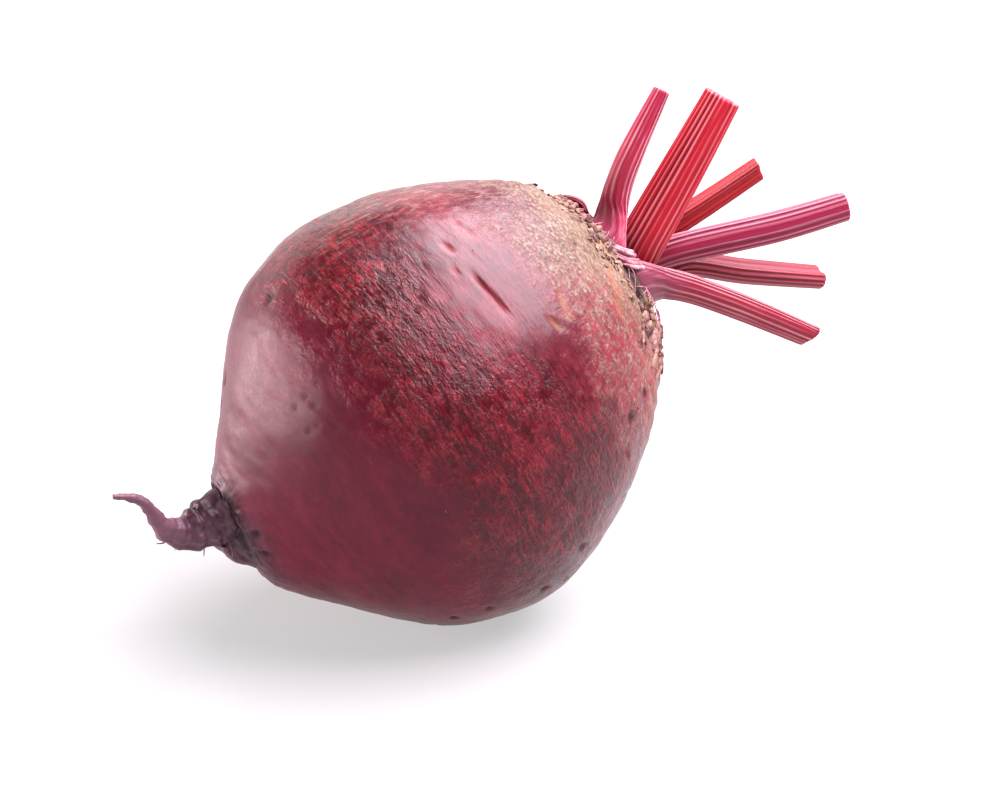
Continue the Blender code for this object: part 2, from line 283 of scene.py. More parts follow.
def finish_tree(tree: bpy.types.NodeTree, geometry: bpy.types.NodeSocket, material: bpy.types.NodeSocket) -> None:
    """Ends a geometry tree with real, smooth faces and their material.

    Args:
        tree: The tree.
        geometry: What the tree has made.
        material: The material's input.
    """
    real = node(tree, "GeometryNodeRealizeInstances", {"Geometry": geometry})
    smooth = node(tree, "GeometryNodeSetShadeSmooth", {"Geometry": real})
    dressed = node(tree, "GeometryNodeSetMaterial", {"Geometry": smooth, "Material": material})
    node(tree, "NodeGroupOutput", {"Geometry": dressed})


def grow(carrier: bpy.types.Object, tree: bpy.types.NodeTree, values: dict) -> bpy.types.Object:
    """Runs a geometry tree on an object and keeps the result as a plain mesh.

    Args:
        carrier: The object that the tree starts from. It ends up holding the result.
        tree: The tree.
        values: The value of each named input.

    Returns:
        The carrier.
    """
    modifier = carrier.modifiers.new(tree.name, "NODES")
    modifier.node_group = tree
    for item in tree.interface.items_tree:
        if item.in_out == "INPUT" and item.name in values:
            modifier[item.identifier] = values[item.name]
    depsgraph = bpy.context.evaluated_depsgraph_get()
    evaluated = carrier.evaluated_get(depsgraph)
    mesh = bpy.data.meshes.new_from_object(evaluated, preserve_all_data_layers=True, depsgraph=depsgraph)
    carrier.modifiers.remove(modifier)
    old = carrier.data
    carrier.data = mesh
    bpy.data.meshes.remove(old)
    mesh.name = carrier.name
    return carrier


@dataclass(frozen=True)
class BeetAxes:
    """The beet's own axes in millimetres, and where they lie in the frame.

    Attributes:
        lie_angle: How far the crown end is up, in degrees.
        top: Height of the crown's highest point on the beet's own axes.
    """

    lie_angle: float = 28.7
    top: float = 96.2

    @property
    def turn(self) -> np.ndarray:
        """The turn that lays the beet on its flank."""
        s, c = math.sin(math.radians(self.lie_angle)), math.cos(math.radians(self.lie_angle))
        return np.array([[-s, 0, c], [0, -1, 0], [c, 0, s]])

    @property
    def origin(self) -> np.ndarray:
        """Where the axes start in the frame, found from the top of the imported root."""
        spots = vertex_spots(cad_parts[BODY].data).astype(float)
        up = self.turn[:, 2]
        return spots[np.argmax(spots @ up)] - up * self.top * MM

    def place(self, points: np.ndarray) -> np.ndarray:
        """Points on the beet's own axes, in the frame and in metres."""
        return points @ self.turn.T * MM + self.origin

    def point(self, vectors: np.ndarray) -> np.ndarray:
        """Directions on the beet's own axes, in the frame."""
        return vectors @ self.turn.T


def new_piece(
    name: str, points: np.ndarray, faces: list, values: dict, edges: list | None = None
) -> bpy.types.Object:
    """Makes an object from points in the frame.

    Args:
        name: Name of the object.
        points: The vertices, in metres.
        faces: The vertex numbers of each face.
        values: A number or a vector for each vertex, by the attribute's name.
        edges: The vertex numbers of each loose edge.

    Returns:
        The object, at the origin.
    """
    mesh = bpy.data.meshes.new(name)
    mesh.from_pydata(points.tolist(), edges or [], faces)
    for label, numbers in values.items():
        kind, key = ("FLOAT_VECTOR", "vector") if numbers.ndim == 2 else ("FLOAT", "value")
        attribute = mesh.attributes.new(label, kind, "POINT")
        attribute.data.foreach_set(key, numbers.astype(np.float32).ravel())
    mesh.shade_smooth()
    mesh.update()
    piece = bpy.data.objects.new(name, mesh)
    bpy.context.scene.collection.objects.link(piece)
    return piece


def stitch(lower: range, upper: range) -> list[tuple]:
    """Faces between two rings of vertices that have as many sides, or one half as many as the other.

    Args:
        lower: Vertex numbers of the ring that comes first.
        upper: Vertex numbers of the ring that comes after it.

    Returns:
        The faces, pointing outwards.
    """
    if len(lower) == len(upper):
        n = len(lower)
        return [(lower[i], lower[(i + 1) % n], upper[(i + 1) % n], upper[i]) for i in range(n)]
    flip = len(lower) > len(upper)
    few, many = (upper, lower) if flip else (lower, upper)
    faces = []
    for i, corner in enumerate(few):
        after = few[(i + 1) % len(few)]
        a, b, c = many[2 * i], many[2 * i + 1], many[(2 * i + 2) % len(many)]
        made = [(corner, b, a), (corner, after, b), (after, c, b)]
        faces += [face[::-1] for face in made] if flip else made
    return faces


def tube_faces(counts: list[int], bottom: int, top: int) -> list[tuple]:
    """Faces of a closed skin over rings of vertices that follow each other in one list.

    Args:
        counts: How many vertices each ring has.
        bottom: Vertex number of the middle of the first ring.
        top: Vertex number of the middle of the last ring.

    Returns:
        The faces, pointing outwards.
    """
    starts = np.cumsum([0, *counts])
    rings = [range(int(starts[i]), int(starts[i]) + n) for i, n in enumerate(counts)]
    faces = []
    for lower, upper in zip(rings, rings[1:]):
        faces += stitch(lower, upper)
    first, last = rings[0], rings[-1]
    faces += [(first[(i + 1) % len(first)], first[i], bottom) for i in range(len(first))]
    faces += [(last[i], last[(i + 1) % len(last)], top) for i in range(len(last))]
    return faces


def dress(piece: bpy.types.Object, slot: str, *nodes: str) -> bpy.types.Object:
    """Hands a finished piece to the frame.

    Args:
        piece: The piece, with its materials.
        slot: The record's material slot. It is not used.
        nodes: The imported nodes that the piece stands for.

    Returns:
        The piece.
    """
    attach(piece, BODY)
    if nodes:
        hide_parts(*nodes)
    piece.data.calc_loop_triangles()
    LOG.info("%s: %d triangles", piece.name, len(piece.data.loop_triangles))
    return piece


@dataclass(frozen=True)
class PeridermFinish:
    """Beetroot periderm, washed: a thin satin skin over wine-red flesh, streaked round the root.

    The eye sees a soft sheen on the smooth lower flank, a band of glossy blisters that break the light up, a sleek
    upper flank with hair lines round it, and a shoulder that turns dull, beige and grainy where the skin corked over.

    Attributes:
        name: Name of the material.
        streak_pitch: Distance between streaks up the root.
        streak_run: Length of a streak round the root.
        blister: Distance between blisters.
        cork_grain: Size of a grain of cork.
        patch_swing: How far broad patches move the edges of the zones.
        mottle_swing: How far mottles move them.
        tear_swing: How far tears up the root move the edge of the cork.
        hairline_swing: How far streaks move the upper edge of the blistered band.
        low_zone: Heights where the smooth lower flank has ended and where it is whole.
        band_zone: Heights where the blistered band has ended and where it is whole.
        cork_zone: Heights where the cork starts and where it is whole.
        crown_zone: Heights where the crown's dark top starts and where it is whole. That dark red is partly the
            crown's own skin and partly painted shade below the stalks' feet.
        lit_tones: Colours of the flank on the side that faces up to the key light: painted light.
        shaded_tones: Colours of the flank on the sides that face away from it: painted shade.
        low_tones: Colours of the smooth lower flank.
        cork_tones: Colours of the cork.
        tail_tones: Colours of the tap root.
    """

    name: str = "beetroot_periderm"
    streak_pitch: float = 0.75
    streak_run: float = 4.5
    blister: float = 1.0
    cork_grain: float = 1.15
    patch_swing: float = 22.0
    mottle_swing: float = 18.0
    tear_swing: float = 22.0
    hairline_swing: float = 20.0
    low_zone: tuple = (40.0, 26.0)
    band_zone: tuple = (85.0, 77.0)
    cork_zone: tuple = (70.0, 87.0)
    crown_zone: tuple = (91.5, 93.0)
    lit_tones: tuple = ((0.38, "3E020B"), (0.46, "5C0412"), (0.52, "720616"), (0.58, "860B1B"), (0.68, "8E202C"))
    shaded_tones: tuple = ((0.38, "4A030D"), (0.46, "600516"), (0.54, "770A1E"), (0.66, "8F2732"))
    low_tones: tuple = ((0.38, "4F021A"), (0.52, "5F0523"), (0.66, "700C2B"))
    cork_tones: tuple = ((0.36, "431E1E"), (0.44, "62352F"), (0.50, "72524A"), (0.56, "7E6A58"), (0.64, "8A7A6E"))
    tail_tones: tuple = ((0.36, "1A0910"), (0.48, "3F232C"), (0.62, "6E4B5B"))

    def patterns(self, tree: bpy.types.NodeTree) -> SimpleNamespace:
        """Adds what the skin's zones, colours and relief are made from.

        Args:
            tree: The material's tree.

        Returns:
            The socket of each attribute, noise and side of the root, by its name.
        """
        seen = SimpleNamespace()
        for label in ("grain", "stain"):
            setattr(seen, label, node(tree, "ShaderNodeAttribute", output="Vector", attribute_name=label))
        for label in ("height", "tail", "relief"):
            setattr(seen, label, node(tree, "ShaderNodeAttribute", output="Fac", attribute_name=label))
        # Scale round the root and up it, detail, roughness and distortion of each noise.
        noises = {
            "streak": (1 / self.streak_run, 1 / self.streak_pitch, 4.0, 0.65, 0.6),
            "patch": (1 / 15.0, 1 / 15.0, 2.0, 0.5, 0.0),
            "mottle": (1 / 3.0, 1 / 3.0, 5.0, 0.65, 0.0),
            "fine": (1 / 0.7, 1 / 0.7, 3.0, 0.6, 0.0),
            "tears": (1 / 1.3, 1 / 6.0, 4.0, 0.65, 0.0),
            "flecks": (1.2, 2.4, 4.0, 0.7, 0.0),
            "flakes": (0.7 / self.cork_grain, 1.3 / self.cork_grain, 5.0, 0.7, 0.5),
        }
        for label, (round_it, up_it, *look) in noises.items():
            spot = node(tree, "ShaderNodeMapping", {"Vector": seen.grain, "Scale": (round_it, round_it, up_it)})
            values = {"Vector": spot, "Scale": 1.0, **dict(zip(("Detail", "Roughness", "Distortion"), look))}
            setattr(seen, label, node(tree, "ShaderNodeTexNoise", values))
        # The way of each side across the root, and how much it counts.
        sides = {
            "above": (-0.04, 0.16),
            "front": (0.0, 0.3),
            "sleek": (0.6, 0.36),
            "sunny": (1.0, -0.25),
            "back": (0.0, -1.0),
            "hidden": (-0.3, 1.0),
        }
        for label, way in sides.items():
            how = {"output": "Value", "operation": "DOT_PRODUCT"}
            setattr(seen, label, node(tree, "ShaderNodeVectorMath", (seen.grain, (*way, 0.0)), **how))
        values = {"Vector": seen.grain, "Scale": 1 / 1.4, "Detail": 2.0}
        shift = node(tree, "ShaderNodeTexNoise", values, output="Color")
        shift = node(tree, "ShaderNodeVectorMath", {0: shift, "Scale": 1.6}, operation="SCALE")
        bent = node(tree, "ShaderNodeVectorMath", (seen.grain, (0.6, 0.6, 1.3)), operation="MULTIPLY")
        bent = node(tree, "ShaderNodeVectorMath", (bent, shift), operation="ADD")
        cells = {"Vector": bent, "Scale": 1 / self.blister, "Randomness": 1.0}
        domes = node(tree, "ShaderNodeTexVoronoi", cells, output="Distance")
        seen.domes = node(tree, "ShaderNodeMapRange", (domes, 0.75, 0.05))
        return seen

    def add_zones(self, tree: bpy.types.NodeTree, seen: SimpleNamespace) -> None:
        """Adds how far each place is in the skin's zones, with ragged edges between them.

        Args:
            tree: The material's tree.
            seen: The sockets so far, which the zones join.
        """
        warp = swayed(tree, seen.height, seen.patch, self.patch_swing)
        seen.ragged = swayed(tree, warp, seen.mottle, self.mottle_swing)
        exposed = node(tree, "ShaderNodeMath", (seen.ragged, seen.above), operation="ADD")
        exposed = swayed(tree, exposed, seen.tears, self.tear_swing)
        ends = node(tree, "ShaderNodeMix", (0.55, seen.ragged, seen.height), data_type="FLOAT")
        ends = node(tree, "ShaderNodeMath", (ends, seen.sleek), operation="ADD")
        seen.ends = swayed(tree, ends, seen.streak, self.hairline_swing)
        zones = {
            "low_share": (seen.ragged, *self.low_zone),
            "band": (seen.ends, *self.band_zone),
            "cork_share": (exposed, *self.cork_zone),
            "crown_share": (seen.height, *self.crown_zone),
            "sunny": (seen.sunny, 12.0, 34.0),
            "back": (seen.back, -20.0, 2.0),
            "high": (seen.ragged, 36.0, 60.0),
        }
        for label, limits in zones.items():
            setattr(seen, label, node(tree, "ShaderNodeMapRange", limits, interpolation_type="SMOOTHSTEP"))
        above_low = node(tree, "ShaderNodeMath", (1.0, seen.low_share), operation="SUBTRACT")
        seen.band = node(tree, "ShaderNodeMath", (above_low, seen.band), operation="MULTIPLY")
        patchy = node(tree, "ShaderNodeMapRange", (seen.mottle, 0.42, 0.56, 0.1, 1.0))
        aside = node(tree, "ShaderNodeMapRange", (seen.front, 2.0, 7.0, 0.35, 1.0))
        rough_band = node(tree, "ShaderNodeMath", (seen.band, patchy), operation="MULTIPLY")
        seen.rough_band = node(tree, "ShaderNodeMath", (rough_band, aside), operation="MULTIPLY")

    def flesh_colour(self, tree: bpy.types.NodeTree, seen: SimpleNamespace) -> bpy.types.NodeSocket:
        """Colours the thin skin: streaked flesh with bloom, scurf and scuffs, and painted shade in creases, valleys
        and pits.

        Args:
            tree: The material's tree.
            seen: The sockets so far.

        Returns:
            The colour's socket.
        """
        ramps = (self.lit_tones, self.shaded_tones, self.low_tones)
        lit, shaded, low = (node(tree, "ShaderNodeValToRGB", (seen.tone,), stops=stops) for stops in ramps)
        # Painted light and shade: the side that faces up to the key light takes the lit tones, the other sides the
        # shaded tones.
        flank = node(tree, "ShaderNodeMix", (seen.sunny, shaded, lit), data_type="RGBA")
        colour = node(tree, "ShaderNodeMix", (seen.low_share, flank, low), data_type="RGBA")
        upper = node(tree, "ShaderNodeMath", (seen.sunny, 0.8, 0.2), operation="MULTIPLY_ADD")
        scuffed = node(tree, "ShaderNodeMath", (seen.back, seen.high), operation="MULTIPLY")
        scuffed = node(tree, "ShaderNodeMath", (scuffed, upper), operation="MULTIPLY")
        layers = [
            # Painted shade in the creases between the blisters, where their relief dips.
            (seen.domes, 0.42, 0.05, 0.5, seen.band, "36060F"),
            (seen.ends, 76.0, 88.0, 0.5, 1.0, "582834"),
            # Painted shade in the valleys of the streaks, where their relief dips.
            (seen.streak, 0.55, 0.42, 0.85, seen.band, "3A0510"),
            (seen.flecks, 0.56, 0.63, 0.5, seen.rough_band, "8E3A3E"),
            # Painted shade in the pits between the flecks, where their relief dips.
            (seen.flecks, 0.44, 0.38, 0.6, seen.band, "2C050C"),
            (seen.tears, 0.50, 0.61, 0.58, scuffed, "966A64"),
        ]
        return glazed(tree, colour, layers)

    def cork_colour(self, tree: bpy.types.NodeTree, seen: SimpleNamespace) -> bpy.types.NodeSocket:
        """Colours the cork of the shoulder: drier up the root, specked and crumbly, flushed on one side.

        Args:
            tree: The material's tree.
            seen: The sockets so far.

        Returns:
            The colour's socket.
        """
        colour = node(tree, "ShaderNodeValToRGB", (seen.flakes,), stops=self.cork_tones)
        young = node(tree, "ShaderNodeMapRange", (seen.height, 90.0, 84.0))
        torn = node(tree, "ShaderNodeMapRange", (seen.tears, 0.56, 0.44, 0.25, 1.0))
        flushed = node(tree, "ShaderNodeMath", (young, torn), operation="MULTIPLY")
        layers = [
            (seen.ragged, 77.0, 90.0, 0.75, 1.0, "7F644C"),
            (seen.fine, 0.56, 0.62, 0.75, 1.0, "4D3729"),
            (seen.fine, 0.45, 0.39, 0.65, 1.0, "A18C81"),
            (seen.hidden, 17.0, 29.0, 0.95, flushed, "8A2C36"),
        ]
        return glazed(tree, colour, layers)

    def relief(self, tree: bpy.types.NodeTree, seen: SimpleNamespace) -> bpy.types.NodeSocket:
        """Raises blisters, flecks, streaks and flakes, each as far as its zones let it.

        Args:
            tree: The material's tree.
            seen: The sockets so far.

        Returns:
            The height's socket.
        """
        domed = node(tree, "ShaderNodeMath", (seen.rough_band, 0.45, 0.02), operation="MULTIPLY_ADD")
        flecked = node(tree, "ShaderNodeMath", (seen.rough_band, 0.7), operation="MULTIPLY")
        streaked = node(tree, "ShaderNodeMath", (seen.low_share, -0.32, 0.40), operation="MULTIPLY_ADD")
        streaked = node(tree, "ShaderNodeMath", (seen.band, 0.45, streaked), operation="MULTIPLY_ADD")
        flaked = node(tree, "ShaderNodeMath", (seen.cork_share, 1.25), operation="MULTIPLY")
        rise = 0.0
        pairs = ((seen.domes, domed), (seen.flecks, flecked), (seen.streak, streaked), (seen.flakes, flaked))
        for pattern, gain in pairs:
            rise = node(tree, "ShaderNodeMath", (pattern, gain, rise), operation="MULTIPLY_ADD")
        return rise

    def material(self) -> bpy.types.Material:
        """Builds the material.

        Returns:
            The material.
        """
        made, tree, shader = new_material(self.name)
        seen = self.patterns(tree)
        self.add_zones(tree, seen)
        tone = node(tree, "ShaderNodeMix", (0.35, seen.mottle, seen.streak), data_type="FLOAT")
        seen.tone = node(tree, "ShaderNodeMix", (0.35, tone, seen.patch), data_type="FLOAT")
        flesh, cork = self.flesh_colour(tree, seen), self.cork_colour(tree, seen)
        colour = node(tree, "ShaderNodeMix", (seen.cork_share, flesh, cork), data_type="RGBA")
        # Partly painted shade: the crown's top between the stalks' feet turns dark red, for its own skin and for the
        # shade there.
        colour = node(tree, "ShaderNodeMix", (seen.crown_share, colour, linear("4A1420")), data_type="RGBA")
        tail = node(tree, "ShaderNodeValToRGB", (seen.tone,), stops=self.tail_tones)
        up_root = node(tree, "ShaderNodeSeparateXYZ", (seen.grain,), output="Z")
        tail = glazed(tree, tail, [(up_root, -14.0, -22.0, 0.7, 1.0, "7E5464")])
        colour = node(tree, "ShaderNodeMix", (seen.tail, colour, tail), data_type="RGBA")
        # Painted shade: the skin darkens wherever the mesh's relief dips into a dent.
        colour = glazed(tree, colour, [(seen.relief, -0.10, -0.45, 0.5, 1.0, "330A14")])
        marks = node(tree, "ShaderNodeSeparateXYZ", (seen.stain,)).node.outputs
        for part, tint in (("Y", "CF9A62"), ("Z", "A62A35"), ("X", "220A10")):
            colour = node(tree, "ShaderNodeMix", (marks[part], colour, linear(tint)), data_type="RGBA")
        rough = node(tree, "ShaderNodeMapRange", (seen.fine, 0.35, 0.65, 0.22, 0.31))
        for share, more in ((seen.cork_share, 0.16), (seen.low_share, 0.12), (seen.band, -0.07), (marks["X"], 0.3)):
            rough = node(tree, "ShaderNodeMath", (share, more, rough), operation="MULTIPLY_ADD")
        rise = self.relief(tree, seen)
        bump = node(tree, "ShaderNodeBump", {"Strength": 0.9, "Distance": 0.28 * MM, "Height": rise})
        look = {
            "Base Color": colour,
            "Roughness": rough,
            "Normal": bump,
            "Specular IOR Level": 0.27,
            "Subsurface Weight": 0.05,
            "Subsurface Radius": (1.0, 0.25, 0.2),
            "Subsurface Scale": 1.0 * MM,
        }
        feed(tree, shader, look)
        return made


@dataclass(frozen=True)
class PetioleFinish:
    """Epidermis of a beetroot leaf stalk: juicy, satin and ribbed, so pale ridges run beside dark red grooves.

    Attributes:
        name: Name of the material.
        groove: Colour of the grooves.
        side: Colour of the ribs' sides.
        ridge: Colour of the ribs' tops.
        foot: Colour that the stalk takes where it clasps the crown; on stalks 2 to 5 it is dark: painted shade among
            the feet.
        fibre: Width of the fine fibres between the ribs.
    """

    name: str
    groove: str
    side: str
    ridge: str
    foot: str
    fibre: float = 0.35

    def material(self) -> bpy.types.Material:
        """Builds the material.

        Returns:
            The material.
        """
        made, tree, shader = new_material(self.name)
        grain = node(tree, "ShaderNodeAttribute", output="Vector", attribute_name="grain")
        ridge = node(tree, "ShaderNodeAttribute", output="Fac", attribute_name="ridge")
        along = node(tree, "ShaderNodeAttribute", output="Fac", attribute_name="along")
        fine = 1 / self.fibre
        spot = node(tree, "ShaderNodeMapping", {"Vector": grain, "Scale": (fine, fine, 1 / 16.0)})
        fibres = node(tree, "ShaderNodeTexNoise", {"Vector": spot, "Scale": 1.0, "Detail": 3.0, "Roughness": 0.6})
        spot = node(tree, "ShaderNodeMapping", {"Vector": grain, "Scale": (0.7, 0.7, 1 / 30.0)})
        bands = node(tree, "ShaderNodeTexNoise", {"Vector": spot, "Scale": 1.0, "Detail": 2.0})
        tone = swayed(tree, swayed(tree, ridge, fibres, 0.8), bands, 0.7)
        stops = [(0.02, self.groove), (0.26, self.side), (0.60, self.side), (0.90, self.ridge), (1.0, self.ridge)]
        colour = node(tree, "ShaderNodeValToRGB", (tone,), stops=stops)
        # On stalks 2 to 5 the foot colour is a dark red that paints the shade among the crowded feet.
        colour = glazed(tree, colour, [(along, 0.32, 0.06, 1.2, fibres, self.foot)])
        look = {
            "Base Color": colour,
            "Roughness": node(tree, "ShaderNodeMapRange", (fibres, 0.3, 0.7, 0.34, 0.48)),
            "Normal": node(tree, "ShaderNodeBump", {"Strength": 0.6, "Distance": 0.18 * MM, "Height": fibres}),
            "Specular IOR Level": 0.28,
            "Subsurface Weight": 0.12,
            "Subsurface Radius": (1.0, 0.3, 0.3),
            "Subsurface Scale": 1.5 * MM,
        }
        feed(tree, shader, look)
        return made


@dataclass(frozen=True)
class TissueFinish:
    """Dead or cut plant tissue: matt, fibrous and blotched, from cream to dark brown.

    Attributes:
        name: Name of the material.
        dark: Colour in its hollows.
        middle: Usual colour.
        pale: Colour of its raised spots.
        grain: Size of a blotch.
        roughness: How matt it is.
    """

    name: str
    dark: str
    middle: str
    pale: str
    grain: float = 1.0
    roughness: float = 0.6

    def material(self) -> bpy.types.Material:
        """Builds the material.

        Returns:
            The material.
        """
        made, tree, shader = new_material(self.name)
        spot = node(tree, "ShaderNodeTexCoord", output="Object")
        fine = 1 / (self.grain * MM)
        blotch = node(tree, "ShaderNodeTexNoise", {"Vector": spot, "Scale": fine, "Detail": 4.0, "Roughness": 0.65})
        tint = node(tree, "ShaderNodeAttribute", output="Fac", attribute_name="tint")
        tone = node(tree, "ShaderNodeMath", (tint, 0.30, blotch), operation="MULTIPLY_ADD")
        stops = [(0.34, self.dark), (0.50, self.middle), (0.66, self.pale)]
        look = {
            "Base Color": node(tree, "ShaderNodeValToRGB", (tone,), stops=stops),
            "Roughness": self.roughness,
            "Normal": node(tree, "ShaderNodeBump", {"Strength": 0.7, "Distance": 0.15 * MM, "Height": blotch}),
        }
        feed(tree, shader, look)
        return made


class MarkKind(Enum):
    """What a mark on the skin is, with its share of dark, ochre and red stain."""

    SCAR = (0.45, 0.0, 0.75)
    PIT = (1.0, 0.0, 0.0)
    SPECK = (0.68, 0.0, 0.1)
    CRACK = (0.30, 0.30, 0.20)
    OCHRE = (0.0, 1.0, 0.0)


@dataclass(frozen=True)
class Mark:
    """One scar, pit, crack or stain on the skin.

    Attributes:
        kind: What it is.
        angle: Where it is round the root, in degrees.
        z: Where it is up the root.
        half_run: Half its length round the root.
        half_rise: Half its width up the root.
        depth: How deep it is.
        slope: How much it climbs for each millimetre round the root.
    """

    kind: MarkKind
    angle: float
    z: float
    half_run: float
    half_rise: float
    depth: float = 0.0
    slope: float = 0.0

    def weight(self, angle: np.ndarray, z: float, radius: float) -> np.ndarray:
        """How much of the mark each point of a ring has, from 0 to 1."""
        across = wrapped(angle - math.radians(self.angle)) * radius
        run = np.exp(-np.power(np.abs(across) / self.half_run, 4))
        return run * bell((z - self.z - self.slope * across) / self.half_rise)


@dataclass
class RootSkin:
    """The swollen root with its crown and tap root, as one finely modelled skin.

    Attributes:
        axes: The beet's own axes.
        outline: Height, radius and off-axis step of the swollen root's rings.
        off_axis_to: The way that the outline's steps go, across the axis.
        tap_root: Centre and radius of the tap root's rings, from its tip in.
        lean_fades: Radii between which the rings turn from the tap root's way to the root's axis.
        base_tilt: Slope of the rings where the root starts to swell.
        base_tilt_fades: Heights between which that slope fades out.
        full_sides: Sides of the widest rings.
        sides_halve_below: Radii below which a ring has half as many sides, each time again.
        flank_pitch: Distance between rings on the flank.
        shoulder_pitch: Distance between rings on the shoulder and the tap root.
        shoulder_from: Height where the shoulder starts.
        lobes: Count round the root, share of the radius and turn of each lobing.
        lump_size: Size of the broad lumps of the flesh.
        lump_height: Their height.
        fold_count: How many folds the shoulder has.
        fold_height: Their height.
        fold_at: Where they are strongest.
        fold_reach: How far up and down they reach.
        cork_pitch: Distance between the corky rings of the shoulder.
        cork_height: Their height.
        cork_at: Where they are strongest.
        cork_reach: How far up and down they reach.
        rim_z: Height of the rim round the crown.
        rim_thickness: Half its thickness.
        rim_height: How far it stands out.
        rim_wave: How much that differs round the root.
        scar_count: How many leaf scars the crown has.
        scar_turn: Angle from one scar to the next.
        scar_first_z: Height of the first scar.
        scar_rise: How much higher each next one is.
        scar_half_width: Half its width.
        scar_thickness: Thickness of its lip.
        scar_height: How far the lip stands out.
        scar_bow: How much the lip bends up at its ends.
        knuckle_pitch: Distance between the tap root's knuckles.
        knuckle_depth: Their share of its radius.
        wrinkle_count: How many wrinkles run along the tap root.
        wrinkle_depth: Their share of its radius.
        mark_seed: Start of the random draws for the marks.
        speck_count: How many specks stand together on the front.
        hidden_scars: How many scars are scattered on the other sides.
        hidden_pits: How many pits are.
        marks: The marks on the skin.
    """

    axes: BeetAxes
    outline: tuple = (
        (0.9, 11.6, 1.6),
        (4.4, 16.3, 0.5),
        (10.0, 22.9, -1.4),
        (16.0, 29.7, -1.6),
        (23.0, 36.4, -1.3),
        (31.0, 41.0, -1.1),
        (42.0, 43.7, -1.1),
        (53.0, 42.7, -0.8),
        (66.0, 38.1, -0.3),
        (78.0, 31.4, 0.3),
        (85.0, 25.4, 1.1),
        (89.6, 19.0, 0.7),
        (92.0, 15.6, 0.6),
        (93.4, 12.4, 0.4),
        (94.6, 9.2, 0.2),
        (95.8, 5.0, 0.0),
        (96.2, 0.0, 0.0),
    )
    off_axis_to: tuple = (0.866, -0.5)
    tap_root: tuple = (
        (25.6, 4.0, -16.4, 0.60),
        (22.2, 4.0, -12.9, 0.95),
        (18.3, 3.8, -11.9, 1.25),
        (13.5, 3.4, -11.6, 2.10),
        (9.9, 2.6, -9.3, 3.20),
        (8.2, 1.8, -6.2, 4.20),
        (7.4, 1.0, -3.0, 5.10),
        (6.1, 0.3, -0.6, 6.00),
    )
    lean_fades: tuple = (4.5, 10.0)
    base_tilt: float = 0.13
    base_tilt_fades: tuple = (1.0, 10.0)
    full_sides: int = 336
    sides_halve_below: tuple = (6.8, 3.4, 1.6)
    flank_pitch: float = 0.62
    shoulder_pitch: float = 0.44
    shoulder_from: float = 76.0
    lobes: tuple = ((2, 0.008, 0.6), (3, 0.006, -1.1), (5, 0.003, 2.0))
    lump_size: float = 15.0
    lump_height: float = 0.55
    fold_count: int = 9
    fold_height: float = 0.75
    fold_at: float = 87.0
    fold_reach: float = 6.5
    cork_pitch: float = 3.1
    cork_height: float = 0.20
    cork_at: float = 86.0
    cork_reach: float = 7.5
    rim_z: float = 91.0
    rim_thickness: float = 0.8
    rim_height: float = 0.6
    rim_wave: float = 0.4
    scar_count: int = 8
    scar_turn: float = math.radians(137.5)
    scar_first_z: float = 86.4
    scar_rise: float = 0.62
    scar_half_width: float = 4.2
    scar_thickness: float = 0.75
    scar_height: float = 0.65
    scar_bow: float = 0.045
    knuckle_pitch: float = 3.3
    knuckle_depth: float = 0.07
    wrinkle_count: int = 7
    wrinkle_depth: float = 0.06
    mark_seed: int = 11
    speck_count: int = 7
    hidden_scars: int = 16
    hidden_pits: int = 22
    marks: list[Mark] = field(init=False)

    def __post_init__(self) -> None:
        """Lists the marks that show in front, and scatters some on the sides that do not."""
        self.marks = [
            Mark(MarkKind.SCAR, 46, 61.1, 5.2, 0.42, 0.8, 0.08),
            Mark(MarkKind.SCAR, 28, 60.8, 1.7, 0.40, 0.5, 0.15),
            Mark(MarkKind.SCAR, 23, 66.3, 3.2, 0.30, 0.25, 0.15),
            Mark(MarkKind.SCAR, 36, 58.6, 1.2, 0.35, 0.30),
            Mark(MarkKind.CRACK, 64, 68.4, 1.8, 0.5, 0.4, 0.25),
            Mark(MarkKind.CRACK, 70, 85.0, 4.6, 0.9, 0.3, -0.50),
            Mark(MarkKind.CRACK, 61, 72.5, 2.8, 0.6, 0.3, -0.30),
            Mark(MarkKind.PIT, 1, 29.6, 1.2, 1.3, 0.5),
            Mark(MarkKind.PIT, 72, 2.1, 0.8, 0.8, 0.5),
            Mark(MarkKind.PIT, 92, 2.0, 0.7, 0.7, 0.5),
            Mark(MarkKind.PIT, 36, 0.6, 2.6, 0.9, 0.8),
            # The pits round the rim are deep and dark: their dark stain is partly painted shade in the holes below
            # the stalks' feet.
            Mark(MarkKind.PIT, 27, 89.6, 1.3, 0.9, 1.3),
            Mark(MarkKind.PIT, 29.5, 87.6, 0.8, 0.5, 0.6),
            Mark(MarkKind.PIT, 38, 89.6, 1.5, 0.5, 0.8),
            Mark(MarkKind.OCHRE, 47, 90.0, 1.1, 0.8, 0.5),
            Mark(MarkKind.PIT, 62, 91.2, 3.2, 0.9, 1.3),
            Mark(MarkKind.PIT, 78, 91.0, 4.2, 1.5, 1.6),
            Mark(MarkKind.PIT, 88, 89.8, 1.4, 0.9, 1.0),
        ]
        draw = np.random.default_rng(self.mark_seed)
        for _ in range(self.speck_count):
            self.marks.append(Mark(MarkKind.SPECK, draw.uniform(33, 50), draw.uniform(19, 26), 0.6, 0.5, 0.15))
        for _ in range(self.hidden_scars):
            angle, z = draw.uniform(110, 345), draw.uniform(20, 80)
            run, rise = draw.uniform(1.2, 4.5), draw.uniform(0.3, 0.55)
            self.marks.append(Mark(MarkKind.SCAR, angle, z, run, rise, 0.6, draw.uniform(-0.1, 0.2)))
        for _ in range(self.hidden_pits):
            angle, z = draw.uniform(95, 360), draw.uniform(2, 90)
            size = draw.uniform(0.6, 1.3)
